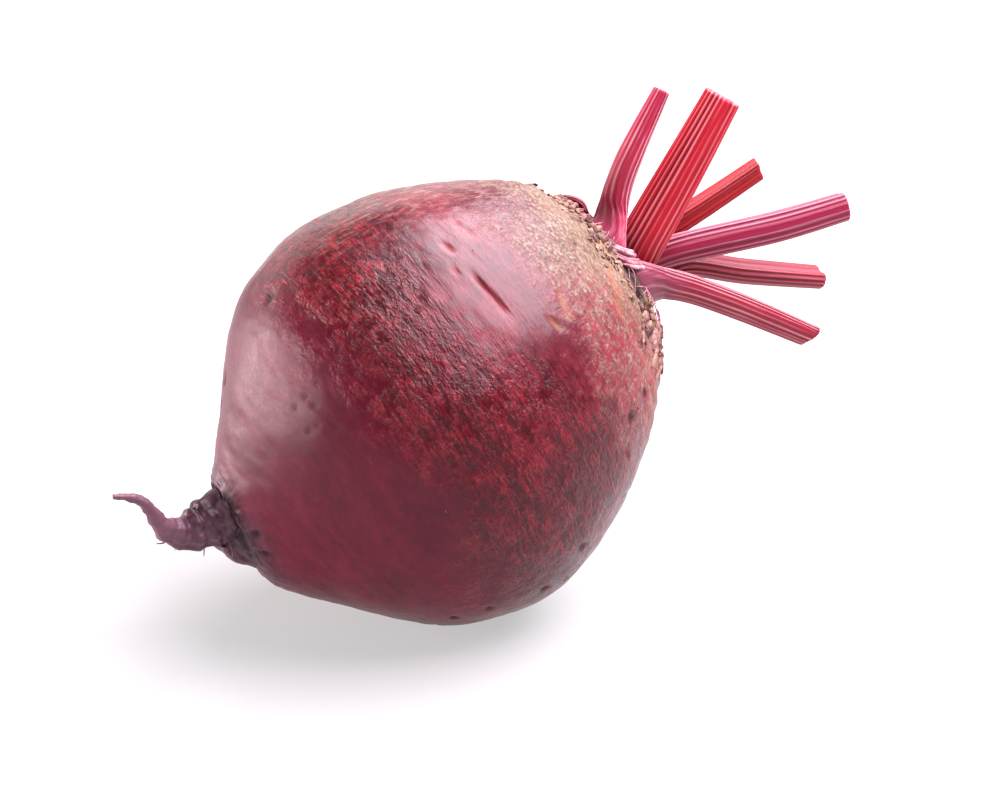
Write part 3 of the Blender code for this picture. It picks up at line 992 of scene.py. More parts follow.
            self.marks.append(Mark(MarkKind.PIT, angle, z, size, size * 0.8, 0.5))

    def stations(self) -> np.ndarray:
        """Centres and radii of the rings, from the tap root's tip to the top of the crown."""
        to_x, to_y = self.off_axis_to
        swollen = [(off * to_x, off * to_y, z, radius) for z, radius, off in self.outline]
        knots = np.array([*self.tap_root, *swollen])
        flank, shoulder = steps_for(knots, self.flank_pitch), steps_for(knots, self.shoulder_pitch)
        fine = [z > self.shoulder_from or z < self.outline[0][0] for z in knots[:-1, 2]]
        return through(knots, [s if is_fine else f for f, s, is_fine in zip(flank, shoulder, fine)])

    def sides(self, radius: float) -> int:
        """How many sides a ring of that radius has."""
        return self.full_sides >> sum(radius < limit for limit in self.sides_halve_below)

    def swelling(self, angle: np.ndarray, z: float, radius: float) -> np.ndarray:
        """Height of the flesh above the outline.

        Args:
            angle: Where the points are round the root.
            z: Height of their ring.
            radius: Radius of their ring.

        Returns:
            The lobes, lumps, shoulder folds, corky rings, rim and leaf scars together.
        """
        thick = smooth_step(5.0, 20.0, radius)
        height = radius * thick * sum(share * np.cos(n * angle + turn) for n, share, turn in self.lobes)
        spots = np.stack([radius * np.cos(angle), radius * np.sin(angle), np.full_like(angle, z)], 1)
        lumps = np.array([noise.noise(Vector(spot)) for spot in spots / self.lump_size])
        height += self.lump_height * thick * lumps
        on_shoulder = bell((z - self.fold_at) / self.fold_reach) * smooth_step(3.0, 14.0, radius)
        height += self.fold_height * on_shoulder * np.cos(self.fold_count * angle + 0.9 * np.sin(2 * angle))
        wave = np.sin(TURN * z / self.cork_pitch + 1.6 * np.sin(2 * angle) + 0.8 * np.cos(3 * angle))
        on_cork = bell((z - self.cork_at) / self.cork_reach) * smooth_step(3.0, 12.0, radius)
        height += self.cork_height * wave * on_cork
        rim = self.rim_height + self.rim_wave * np.cos(5 * angle + 1.4 * np.sin(3 * angle))
        height += rim * bell((z - self.rim_z) / self.rim_thickness)
        return height + self.leaf_scars(angle, z, radius)

    def leaf_scars(self, angle: np.ndarray, z: float, radius: float) -> np.ndarray:
        """Height of the lips that fallen leaves left round the crown."""
        height = np.zeros_like(angle)
        for k in range(self.scar_count):
            across = wrapped(angle - k * self.scar_turn) * radius
            lip_z = self.scar_first_z + k * self.scar_rise + self.scar_bow * across**2
            lip = bell((z - lip_z) / self.scar_thickness) * bell(across / self.scar_half_width)
            height += self.scar_height * lip
        return height

    def tap_root_relief(self, angle: np.ndarray, travelled: float, radius: float) -> np.ndarray:
        """Height of the tap root's knuckles and wrinkles, which fade out on the swollen root."""
        thin = 1.0 - smooth_step(5.0, 11.0, radius)
        knuckles = self.knuckle_depth * np.sin(TURN * travelled / self.knuckle_pitch + np.sin(angle))
        wrinkles = self.wrinkle_depth * np.cos(self.wrinkle_count * angle) * smooth_step(1.5, 4.0, radius)
        return radius * thin * (knuckles + wrinkles)

    def facing(self, line: np.ndarray, i: int) -> np.ndarray:
        """The way a ring faces: along the tap root, and up the root's axis from where it swells."""
        z, radius = line[i, 2], line[i, 3]
        tilt = self.base_tilt * (1.0 - smooth_step(*self.base_tilt_fades, z))
        axis = unit(np.array([-tilt * self.off_axis_to[0], -tilt * self.off_axis_to[1], 1.0]))
        on_tap_root = z < self.outline[0][0] and radius < self.outline[0][1]
        upright = smooth_step(*self.lean_fades, radius) if on_tap_root else 1.0
        along = unit(line[i + 1, :3] - line[max(i - 1, 0), :3])
        return unit(along * (1 - upright) + axis * upright)

    def build(self, material: bpy.types.Material) -> bpy.types.Object:
        """Builds the skin, with its relief in the mesh.

        Args:
            material: The skin's finish.

        Returns:
            The finished mesh object.
        """
        line = self.stations()
        first_z, first_radius, _ = self.outline[0]
        meridian = travelled_along(line)
        meridian -= meridian[np.argmin(np.abs(line[:, 2] - first_z) + np.abs(line[:, 3] - first_radius))]
        travelled = travelled_along(line[:, :3])
        points, grain, stain, height, tail, counts = [], [], [], [], [], []
        for i in range(len(line) - 1):
            centre, z, radius = line[i, :3], line[i, 2], line[i, 3]
            angle = ring_angles(self.sides(radius))
            first, second = ring_axes(self.facing(line, i), RING_START)
            reach = radius + self.swelling(angle, z, radius) + self.tap_root_relief(angle, travelled[i], radius)
            spots = np.zeros((len(angle), 3))
            for mark in self.marks:
                share = mark.weight(angle, z, radius)
                reach = reach - mark.depth * share
                spots = np.maximum(spots, share[:, None] * np.array(mark.kind.value))
            aside = np.cos(angle)[:, None] * first + np.sin(angle)[:, None] * second
            points.append(centre + aside * reach[:, None])
            around = [radius * np.cos(angle), radius * np.sin(angle)]
            grain.append(np.stack([*around, np.full_like(angle, meridian[i])], 1))
            stain.append(spots)
            height.append(np.full_like(angle, z))
            tail.append(np.full_like(angle, 1.0 - smooth_step(-3.0, 7.0, meridian[i])))
            counts.append(len(angle))
        ends = line[[0, -1]]
        points.append(ends[:, :3])
        grain.append(np.stack([[0.0, 0.0], [0.0, 0.0], meridian[[0, -1]]], 1))
        stain.append(np.zeros((2, 3)))
        height.append(ends[:, 2])
        tail.append(np.array([1.0, 0.0]))
        values = {
            "grain": np.vstack(grain),
            "stain": np.vstack(stain),
            "height": np.concatenate(height),
            "tail": np.concatenate(tail),
        }
        faces = tube_faces(counts, sum(counts), sum(counts) + 1)
        skin = new_piece("beet_skin", self.axes.place(np.vstack(points)), faces, values)
        grow(skin, self.relief_tree(), {"Material": material})
        self.press_flat(skin)
        return skin

    def relief_tree(self) -> bpy.types.NodeTree:
        """Builds the tree that raises the skin's dents, streaks, blisters, cork and tail wrinkles.

        Returns:
            The geometry tree.
        """
        tree, socket = new_geometry_tree(
            "skin_relief",
            {
                "Dent Depth": ("Float", 0.60),
                "Streak Depth": ("Float", 0.20),
                "Blister Depth": ("Float", 0.24),
                "Cork Depth": ("Float", 0.85),
                "Wrinkle Depth": ("Float", 1.0),
                "Seed": ("Float", 3.0),
                "Material": ("Material", None),
            },
        )
        grain = node(tree, "GeometryNodeInputNamedAttribute", {"Name": "grain"}, data_type="FLOAT_VECTOR")
        height = node(tree, "GeometryNodeInputNamedAttribute", {"Name": "height"}, data_type="FLOAT")
        tail = node(tree, "GeometryNodeInputNamedAttribute", {"Name": "tail"}, data_type="FLOAT")
        body = node(tree, "ShaderNodeMath", (1.0, tail), operation="SUBTRACT")
        cork = node(tree, "ShaderNodeMapRange", (height, 72.0, 88.0), interpolation_type="SMOOTHSTEP")
        lower = node(tree, "ShaderNodeMapRange", (height, 26.0, 40.0), interpolation_type="SMOOTHSTEP")
        upper = node(tree, "ShaderNodeMapRange", (height, 64.0, 54.0), interpolation_type="SMOOTHSTEP")
        band = node(tree, "ShaderNodeMath", (lower, upper), operation="MULTIPLY")
        band = node(tree, "ShaderNodeMath", (band, 0.85, 0.15), operation="MULTIPLY_ADD")
        layers = [
            ("Dent Depth", (1 / 9.0, 1 / 9.0, 1 / 6.0), 2.0, body),
            ("Streak Depth", (1 / 8.0, 1 / 8.0, 1 / 2.0), 3.0, lower),
            ("Blister Depth", (1 / 2.2, 1 / 2.2, 1 / 1.7), 2.0, band),
            ("Cork Depth", (1 / 4.0, 1 / 4.0, 1 / 1.8), 3.0, cork),
            ("Wrinkle Depth", (1 / 1.6, 1 / 1.6, 1 / 5.0), 2.0, tail),
            ("Wrinkle Depth", (1 / 7.0, 1 / 7.0, 1 / 1.3), 1.0, tail),
        ]
        total = 0.0
        for label, scale, detail, share in layers:
            coarse = node(tree, "ShaderNodeVectorMath", (grain, scale), operation="MULTIPLY")
            values = {"Vector": coarse, "W": socket["Seed"], "Scale": 1.0, "Detail": detail}
            waves = node(tree, "ShaderNodeTexNoise", values, noise_dimensions="4D")
            waves = node(tree, "ShaderNodeMath", (waves, 0.5), operation="SUBTRACT")
            waves = node(tree, "ShaderNodeMath", (waves, socket[label]), operation="MULTIPLY")
            total = node(tree, "ShaderNodeMath", (waves, share, total), operation="MULTIPLY_ADD")
        normal = node(tree, "GeometryNodeInputNormal")
        metres = node(tree, "ShaderNodeMath", (total, MM), operation="MULTIPLY")
        offset = node(tree, "ShaderNodeVectorMath", {0: normal, "Scale": metres}, operation="SCALE")
        stored = {"Geometry": socket["Geometry"], "Name": "relief", "Value": total}
        kept = node(tree, "GeometryNodeStoreNamedAttribute", stored, data_type="FLOAT")
        moved = node(tree, "GeometryNodeSetPosition", {"Geometry": kept, "Offset": offset})
        finish_tree(tree, moved, socket["Material"])
        return tree

    def press_flat(self, skin: bpy.types.Object) -> None:
        """Presses the flank that the root lies on, level with the floor."""
        spots = vertex_spots(skin.data)
        spots[:, 2] = np.maximum(spots[:, 2], 0.0)
        skin.data.vertices.foreach_set("co", spots.ravel())
        skin.data.update()


@dataclass
class LeafStalk:
    """One cut leaf stalk, ribbed outside, hollowed inside, and wide where it clasps the crown.

    Attributes:
        axes: The beet's own axes.
        node_name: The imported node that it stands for.
        line: Centre x, y, z, half width and half depth, from inside the crown to the knife cut.
        outward: The side that faces away from the crown's middle.
        ribs: How many ribs it has.
        cut: How the knife tips, outward and across.
        skin: Its finish.
        seed: Start of its random draws.
        clasps: Whether it bends round the crown at its foot.
        torn: How far its end is torn instead of cut.
        sides_per_rib: Sides of a ring for each rib.
        ring_pitch: Distance between rings.
        rib_depth: Height of a rib, as a share of the stalk's width.
        channel_depth: How far the inner side is hollowed, as a share of the half depth.
        channel_width: Width of that hollow, as a share of the half width.
        clasp_radius: Radius of the crown where the foot bends round it.
        clasp_fades: Heights between which the foot straightens.
        cap_rings: Share of the width, and depth, of each ring of the cut end's hollow.
        bundle_reach: Where the vascular bundles stand, from the cut end's middle to its edge.
        bundle_sink: How far below the edge they stand.
        bundle_size: Their least size, and how much of the distance to the edge is added to it.
        bundle_thickness: Their thickness.
        bundles: The bundles, which are there once the stalk is built.
    """

    axes: BeetAxes
    node_name: str
    line: tuple
    outward: tuple
    ribs: int
    cut: tuple
    skin: PetioleFinish
    seed: int
    clasps: bool = True
    torn: float = 0.0
    sides_per_rib: int = 7
    ring_pitch: float = 0.6
    rib_depth: float = 0.045
    channel_depth: float = 0.42
    channel_width: float = 0.55
    clasp_radius: float = 11.3
    clasp_fades: tuple = (95.0, 101.0)
    cap_rings: tuple = ((0.97, 0.0), (0.88, 0.22), (0.62, 0.38), (0.3, 0.42))
    bundle_reach: float = 0.72
    bundle_sink: float = 0.22
    bundle_size: tuple = (0.12, 0.13)
    bundle_thickness: float = 0.25
    bundles: list = field(default_factory=list, init=False)

    def angles(self) -> np.ndarray:
        """Angles of the corners of each ring."""
        return ring_angles(self.ribs * self.sides_per_rib)

    def rib_wave(self, angle: np.ndarray) -> np.ndarray:
        """Height of the ribs round the stalk, from -1 to 1, each rib with a strength of its own."""
        uneven = np.sin(5 * angle + 2 * self.seed)
        gain = 0.7 + 0.26 * np.sin(2 * angle + self.seed + 1.6) + 0.34 * uneven
        return gain * np.cos(self.ribs * angle + 0.8 * np.sin(2 * angle + self.seed) + 0.5 * uneven)

    def ring(self, station: np.ndarray, direction: np.ndarray) -> np.ndarray:
        """Points of one ring of the stalk.

        Args:
            station: Centre, half width and half depth.
            direction: The way the stalk runs there.

        Returns:
            The points, on the beet's own axes.
        """
        centre, half_width, half_depth = station[:3], station[3], station[4]
        clasp = 1.0 - float(smooth_step(*self.clasp_fades, centre[2])) if self.clasps else 0.0
        facing = unit(direction * (1 - clasp) + UP * clasp)
        away, across = ring_axes(facing, np.array(self.outward))
        angle = self.angles()
        rib = 1 + self.rib_depth * self.rib_wave(angle)
        out = half_depth * np.sin(angle) * rib
        out = np.where(out < 0, out * (1 - self.channel_depth * bell(np.cos(angle) / self.channel_width)), out)
        bend_radius = self.clasp_radius / max(clasp, 0.01)
        bend = half_width * np.cos(angle) * rib / bend_radius
        reach = bend_radius + out
        aside = (np.sin(bend) * reach)[:, None] * across
        return centre + aside + (np.cos(bend) * reach - bend_radius)[:, None] * away

    def onto_cut(self, points: np.ndarray, end: np.ndarray, direction: np.ndarray) -> np.ndarray:
        """The points moved along the stalk onto the knife's plane, or onto a torn edge."""
        away, across = ring_axes(direction, np.array(self.outward))
        offset = points - end
        slope = offset @ away * self.cut[0] + offset @ across * self.cut[1]
        ragged = np.array([noise.noise(Vector(point) * 0.9) for point in points]) * self.torn
        return points + (slope + ragged - offset @ direction)[:, None] * direction

    def build(self, cut_face: bpy.types.Material) -> bpy.types.Object:
        """Builds the stalk with its hollowed cut end.

        Args:
            cut_face: The finish of the cut end.

        Returns:
            The finished mesh object.
        """
        knots = np.array(self.line)
        line = through(knots, steps_for(knots, self.ring_pitch))
        angle = self.angles()
        ridge = 0.5 + 0.5 * self.rib_wave(angle)
        travelled = travelled_along(line[:, :3])
        rings, grain, along = [], [], []
        for i, station in enumerate(line):
            direction = unit(line[min(i + 1, len(line) - 1), :3] - line[max(i - 1, 0), :3])
            points = self.ring(station, direction)
            if i == len(line) - 1:
                points = self.onto_cut(points, station[:3], direction)
            rings.append(points)
            around = np.stack([station[3] * np.cos(angle), station[4] * np.sin(angle)], 1)
            grain.append(np.column_stack([around, np.full(len(angle), travelled[i])]))
            along.append(np.full(len(angle), travelled[i] / travelled[-1]))
        edge, middle = rings[-1], rings[-1].mean(axis=0)
        for scale, depth in self.cap_rings:
            rings.append(middle + (edge - middle) * scale - direction * depth)
            grain.append(grain[-1] * np.array([scale, scale, 1.0]))
            along.append(along[-1])
        for corner in edge[self.sides_per_rib // 2 :: self.sides_per_rib]:
            place = middle + (corner - middle) * self.bundle_reach - direction * self.bundle_sink
            size = self.bundle_size[0] + self.bundle_size[1] * np.linalg.norm(corner - middle)
            spot, out = self.axes.place(place), self.axes.point(direction)
            self.bundles.append(Bit(spot, out, size, size, self.bundle_thickness))
        count = len(angle)
        points = np.vstack([*rings, line[:1, :3], middle[None] - direction * self.cap_rings[-1][1]])
        values = {
            "grain": np.vstack([*grain, np.zeros((2, 3))]),
            "along": np.concatenate([*along, [0.0, 1.0]]),
            "ridge": np.concatenate([np.tile(ridge, len(rings)), [0.5, 0.5]]),
        }
        total = count * len(rings)
        faces = tube_faces([count] * len(rings), total, total + 1)
        piece = new_piece(self.node_name + "_skin", self.axes.place(points), faces, values)
        piece.data.materials.append(self.skin.material())
        piece.data.materials.append(cut_face)
        first_of_face = (len(line) - 1) * count
        on_face = [min(face) >= first_of_face and total not in face for face in faces]
        piece.data.polygons.foreach_set("material_index", np.array(on_face, np.int32))
        return piece


@dataclass
class SkinFinder:
    """Finds places on the finished root skin.

    Attributes:
        axes: The beet's own axes.
        skin: The finished root.
    """

    axes: BeetAxes
    skin: bpy.types.Object

    def __post_init__(self) -> None:
        """Sorts the skin's faces, so that places on it are found fast."""
        mesh = self.skin.data
        corners = [v.co.copy() for v in mesh.vertices]
        self.faces = BVHTree.FromPolygons(corners, [tuple(f.vertices) for f in mesh.polygons])

    def meet(self, start: np.ndarray, way: np.ndarray) -> tuple[np.ndarray, np.ndarray]:
        """Where a straight line first meets the skin.

        Args:
            start: Where the line starts, on the beet's own axes.
            way: The way it runs.

        Returns:
            The place and the skin's normal there, in the frame.
        """
        place, normal, _, _ = self.faces.ray_cast(Vector(self.axes.place(start)), Vector(self.axes.point(way)))
        return np.array(place), np.array(normal)

    def side(self, degrees: float, z: float) -> tuple[np.ndarray, np.ndarray]:
        """The place and normal on the root's side, at an angle round it and a height up it."""
        angle = math.radians(degrees)
        aside = np.array([math.cos(angle), math.sin(angle), 0.0])
        return self.meet(aside * 60 + UP * z, -aside)

    def crown(self, degrees: float, radius: float) -> tuple[np.ndarray, np.ndarray]:
        """The place and normal on the crown, at an angle round it and a distance from its middle."""
        angle = math.radians(degrees)
        return self.meet(np.array([radius * math.cos(angle), radius * math.sin(angle), 130.0]), -UP)


@dataclass
class Bit:
    """One small lump of tissue.

    Attributes:
        place: Its middle, in the frame.
        out: The side that it turns outwards.
        length: Its length.
        width: Its width.
        thickness: Its thickness.
        lie: The way that its length runs, or nothing for any way.
        tint: How pale it is, from -0.5 to 0.5.
    """

    place: np.ndarray
    out: np.ndarray
    length: float
    width: float
    thickness: float
    lie: np.ndarray | None = None
    tint: float = 0.0


@dataclass(frozen=True)
class LumpTree:
    """Geometry tree that sets one uneven lump on each point of a cloud.

    Attributes:
        segments: Sides of a lump.
        rings: Rings of a lump.
        raggedness: How far its surface is pushed about.
        ragged_pitch: Distance between its bumps.
        seed: Start of its noise.
    """

    segments: int = 10
    rings: int = 7
    raggedness: float = 0.35
    ragged_pitch: float = 0.9
    seed: float = 5.0

    def build(self, name: str) -> bpy.types.NodeTree:
        """Builds the tree.

        Args:
            name: Name of the tree.

        Returns:
            The tree.
        """
        tree, socket = new_geometry_tree(
            name,
            {
                "Segments": ("Int", self.segments),
                "Rings": ("Int", self.rings),
                "Raggedness": ("Float", self.raggedness * MM),
                "Ragged Pitch": ("Float", self.ragged_pitch * MM),
                "Seed": ("Float", self.seed),
                "Material": ("Material", None),
            },
        )
        ball = node(tree, "GeometryNodeMeshUVSphere", (socket["Segments"], socket["Rings"], 0.5))
        out = node(tree, "GeometryNodeInputNamedAttribute", {"Name": "out"}, data_type="FLOAT_VECTOR")
        lie = node(tree, "GeometryNodeInputNamedAttribute", {"Name": "lie"}, data_type="FLOAT_VECTOR")
        size = node(tree, "GeometryNodeInputNamedAttribute", {"Name": "size"}, data_type="FLOAT_VECTOR")
        turn = node(tree, "FunctionNodeAxesToRotation", (out, lie), primary_axis="Z", secondary_axis="X")
        laid = {"Points": socket["Geometry"], "Instance": ball, "Rotation": turn, "Scale": size}
        lumps = node(tree, "GeometryNodeInstanceOnPoints", laid)
        real = node(tree, "GeometryNodeRealizeInstances", {"Geometry": lumps})
        place = node(tree, "GeometryNodeInputPosition")
        fine = node(tree, "ShaderNodeMath", (1.0, socket["Ragged Pitch"]), operation="DIVIDE")
        values = {"Vector": place, "W": socket["Seed"], "Scale": fine, "Detail": 1.0}
        shake = node(tree, "ShaderNodeTexNoise", values, output="Color", noise_dimensions="4D")
        shake = node(tree, "ShaderNodeVectorMath", (shake, (0.5, 0.5, 0.5)), operation="SUBTRACT")
        shake = node(tree, "ShaderNodeVectorMath", {0: shake, "Scale": socket["Raggedness"]}, operation="SCALE")
        shake = node(tree, "ShaderNodeVectorMath", {0: shake, "Scale": 2.0}, operation="SCALE")
        moved = node(tree, "GeometryNodeSetPosition", {"Geometry": real, "Offset": shake})
        finish_tree(tree, moved, socket["Material"])
        return tree


def lump_piece(name: str, bits: list[Bit], material: bpy.types.Material, lumps: LumpTree) -> bpy.types.Object:
    """Makes one piece of many small lumps.

    Args:
        name: Name of the piece.
        bits: The lumps.
        material: Their finish.
        lumps: The tree that sets them.

    Returns:
        The finished mesh object.
    """
    lies = [b.lie if b.lie is not None else np.cross(b.out, ODD_WAY) for b in bits]
    values = {
        "out": np.array([b.out for b in bits]),
        "lie": np.array(lies),
        "size": np.array([(b.length, b.width, b.thickness) for b in bits]) * MM,
        "tint": np.array([b.tint for b in bits]),
    }
    piece = new_piece(name, np.array([b.place for b in bits]), [], values)
    return grow(piece, lumps.build(name + "_lumps"), {"Material": material})


@dataclass
class CrownTissue:
    """Old leaf-base tissue round the crown: a crust on the rim, bracts between the stalks and shreds at their feet.

    Attributes:
        finder: Finds places on the root.
        seed: Start of the random draws.
        crust_count: How many lumps the crust has.
        crust_z: Height of its middle.
        crust_spread: How far its lumps stray up and down.
        crust_limits: Heights that no lump goes beyond.
        gap: Angles between which the crust is missing, in degrees.
        gap_above: Height above which it is missing there.
        sunk: Share of the thickness that a lump of the crust or the sheath is sunk in.
        bract_count: How many bracts there are, with those that the stalks leave no room for.
        bract_radii: Distance of the first and the last bract from the crown's middle.
        golden: Angle from one bract to the next, in degrees.
        feet_from: Distance from the middle beyond which the stalks' feet leave no room.
        feet: Angles between which there is room beyond it all the same.
        sheath_count: How many shreds the old sheath has.
        sheath_flaps: Angle, height, length and width of its larger shreds.
        foot_count: How many shreds lie at the feet of the outer stalks.
    """

    finder: SkinFinder
    seed: int = 21
    crust_count: int = 560
    crust_z: float = 89.7
    crust_spread: float = 1.35
    crust_limits: tuple = (85.5, 92.0)
    gap: tuple = (66.0, 94.0)
    gap_above: float = 89.0
    sunk: float = 0.42
    bract_count: int = 58
    bract_radii: tuple = (7.0, 17.0)
    golden: float = 137.5
    feet_from: float = 8.0
    feet: tuple = (132.0, 318.0)
    sheath_count: int = 26
    sheath_flaps: tuple = ((112, 88.0, 6.5, 2.4), (103, 90.6, 3.6, 2.4), (119, 89.6, 4.6, 2.0))
    foot_count: int = 44

    def on_skin(
        self, spot: tuple, size: tuple, round_share: float, tilt: float, tint: float, sink: float = 0.15
    ) -> Bit:
        """Lays a lump on the skin.

        Args:
            spot: Place and normal of the skin.
            size: Length, width and thickness.
            round_share: How far its length turns from up the root to round it, from -1 to 1.
            tilt: How far its upper end stands off the skin, from 0 to 1.
            tint: How pale it is.
            sink: Share of its thickness that is sunk in.

        Returns:
            The lump.
        """
        place, normal = spot
        axis = self.finder.axes.point(UP)
        up = unit(axis - normal * np.dot(axis, normal) + 1e-6)
        lie = unit(up * (1 - abs(round_share)) + np.cross(normal, up) * round_share + normal * tilt)
        out = unit(normal - lie * np.dot(normal, lie))
        middle = place + normal * size[2] * (0.5 - sink) * MM + lie * tilt * size[0] * 0.4 * MM
        return Bit(middle, out, *size, lie, tint)

    def rim_crust(self) -> bpy.types.Object:
        """Builds the crumbly crust on the rim, with a gap in it.

        Returns:
            The finished mesh object.
        """
        draw = np.random.default_rng(self.seed)
        bits = []
        while len(bits) < self.crust_count:
            degrees = draw.uniform(0, 360)
            z = self.crust_z + draw.normal(0, self.crust_spread) + 0.5 * math.sin(math.radians(degrees) * 5)
            size = 0.7 + 2.3 * draw.uniform() ** 2
            shape = (size, size * draw.uniform(0.5, 0.9), 0.25 + size * draw.uniform(0.08, 0.18))
            turn, tilt, tint = draw.uniform(-0.9, 0.9), draw.uniform(0, 0.2), draw.uniform(-0.5, 0.25)
            in_gap = self.gap[0] < degrees < self.gap[1] and z > self.gap_above
            if in_gap or not self.crust_limits[0] < z < self.crust_limits[1]:
                continue
            bits.append(self.on_skin(self.finder.side(degrees, z), shape, turn, tilt, tint, self.sunk))
        finish = TissueFinish("corky_rim_crust", "4A2824", "8A6252", "A88670", grain=0.7, roughness=0.8)
        return lump_piece("rim_crust", bits, finish.material(), LumpTree(raggedness=0.75, ragged_pitch=0.6))

    def bracts(self) -> bpy.types.Object:
        """Builds the dark bracts between the stalks, in the order in which leaves grow.

        Returns:
            The finished mesh object.
        """
        draw = np.random.default_rng(self.seed + 1)
        bits = []
        for k in range(self.bract_count):
            share = (k + 0.5) / self.bract_count
            radius = self.bract_radii[0] + (self.bract_radii[1] - self.bract_radii[0]) * math.sqrt(share)
            degrees = (k * self.golden + draw.uniform(-8, 8)) % 360
            if radius > self.feet_from and not self.feet[0] < degrees < self.feet[1]:
                continue
            tall = draw.uniform(2.6, 4.6) * (1.15 - 0.4 * share)
            shape = (tall, tall * draw.uniform(0.55, 0.85), draw.uniform(0.5, 0.9))
            spot = self.finder.crown(degrees, radius)
            turn, tilt, tint = draw.uniform(-0.5, 0.5), draw.uniform(0.2, 0.8), draw.uniform(-0.5, 0.5)
            bits.append(self.on_skin(spot, shape, turn, tilt, tint))
        finish = TissueFinish("withered_bract", "240910", "6E2430", "B8707A", grain=1.4, roughness=0.55)
        return lump_piece("crown_bracts", bits, finish.material(), LumpTree(segments=12, rings=8, raggedness=0.5))

    def shreds(self) -> bpy.types.Object:
        """Builds the pink shreds and knobs at the feet of the outer stalks, and the old sheath down the side.

        Returns:
            The finished mesh object.
        """
        draw = np.random.default_rng(self.seed + 2)
        bits = []
        for _ in range(self.sheath_count):
            spot = self.finder.side(draw.uniform(92, 132), draw.uniform(84.5, 91.0))
            shape = (draw.uniform(2.4, 5.0), draw.uniform(0.9, 1.7), draw.uniform(0.5, 0.8))
            bits.append(self.on_skin(spot, shape, draw.uniform(-0.2, 0.2), 0.0, draw.uniform(-0.5, 0.3), self.sunk))
        for degrees, z, length, width in self.sheath_flaps:
            bits.append(self.on_skin(self.finder.side(degrees, z), (length, width, 1.1), 0.1, 0.0, 0.1, 0.4))
        for _ in range(self.foot_count):
            spot = self.finder.side(draw.uniform(-30, 58), draw.uniform(89.6, 91.8))
            size = draw.uniform(0.8, 2.2)
            shape = (size, size * draw.uniform(0.4, 0.8), size * draw.uniform(0.2, 0.4))
            turn, tilt, tint = draw.uniform(-0.5, 0.5), draw.uniform(0.2, 0.5), draw.uniform(-0.6, 0.3)
            bits.append(self.on_skin(spot, shape, turn, tilt, tint))
        finish = TissueFinish("fleshy_sheath_shred", "4A1E24", "7E4C48", "A0786A", grain=1.0, roughness=0.7)
        lumps = LumpTree(segments=14, rings=9, raggedness=0.26, ragged_pitch=1.3)
        return lump_piece("sheath_shreds", bits, finish.material(), lumps)


@dataclass
class Strands:
    """Thin strands with a taper, such as rootlets and fibres.

    Attributes:
        name: Name of the piece.
        lines: Each strand's points, in the frame, with the thickness at each in millimetres.
    """

    name: str
    lines: list = field(default_factory=list)

    def add(self, points: np.ndarray, thick: float, tip: float) -> None:
        """Adds a strand.

        Args:
            points: A few points that it runs through, in the frame.
            thick: Its radius where it starts.
            tip: Its radius where it ends.
        """
        line = through(points, [4] * (len(points) - 1))
        radii = np.linspace(thick, tip, len(line))[:, None]
        self.lines.append(np.hstack([line, radii]))

    def tree(self) -> bpy.types.NodeTree:
        """Geometry tree that gives each line its thickness."""
        inputs = {"Sides": ("Int", 7), "Thickness": ("Float", 1.0), "Material": ("Material", None)}
        tree, socket = new_geometry_tree(self.name + "_tubes", inputs)
        curve = node(tree, "GeometryNodeMeshToCurve", {"Mesh": socket["Geometry"]})
        ring = node(tree, "GeometryNodeCurvePrimitiveCircle", {"Resolution": socket["Sides"], "Radius": 1.0})
        thick = node(tree, "GeometryNodeInputNamedAttribute", {"Name": "thick"}, data_type="FLOAT")
        thick = node(tree, "ShaderNodeMath", (thick, socket["Thickness"]), operation="MULTIPLY")
        swept = {"Curve": curve, "Profile Curve": ring, "Scale": thick, "Fill Caps": True}
        tubes = node(tree, "GeometryNodeCurveToMesh", swept)
        finish_tree(tree, tubes, socket["Material"])
        return tree

    def build(self, material: bpy.types.Material) -> bpy.types.Object:
        """Builds the piece."""
        edges, start = [], 0
        for line in self.lines:
            edges += [(start + i, start + i + 1) for i in range(len(line) - 1)]
            start += len(line)
        rows = np.vstack(self.lines)
        piece = new_piece(self.name, rows[:, :3], [], {"thick": rows[:, 3] * MM}, edges)
        return grow(piece, self.tree(), {"Material": material})


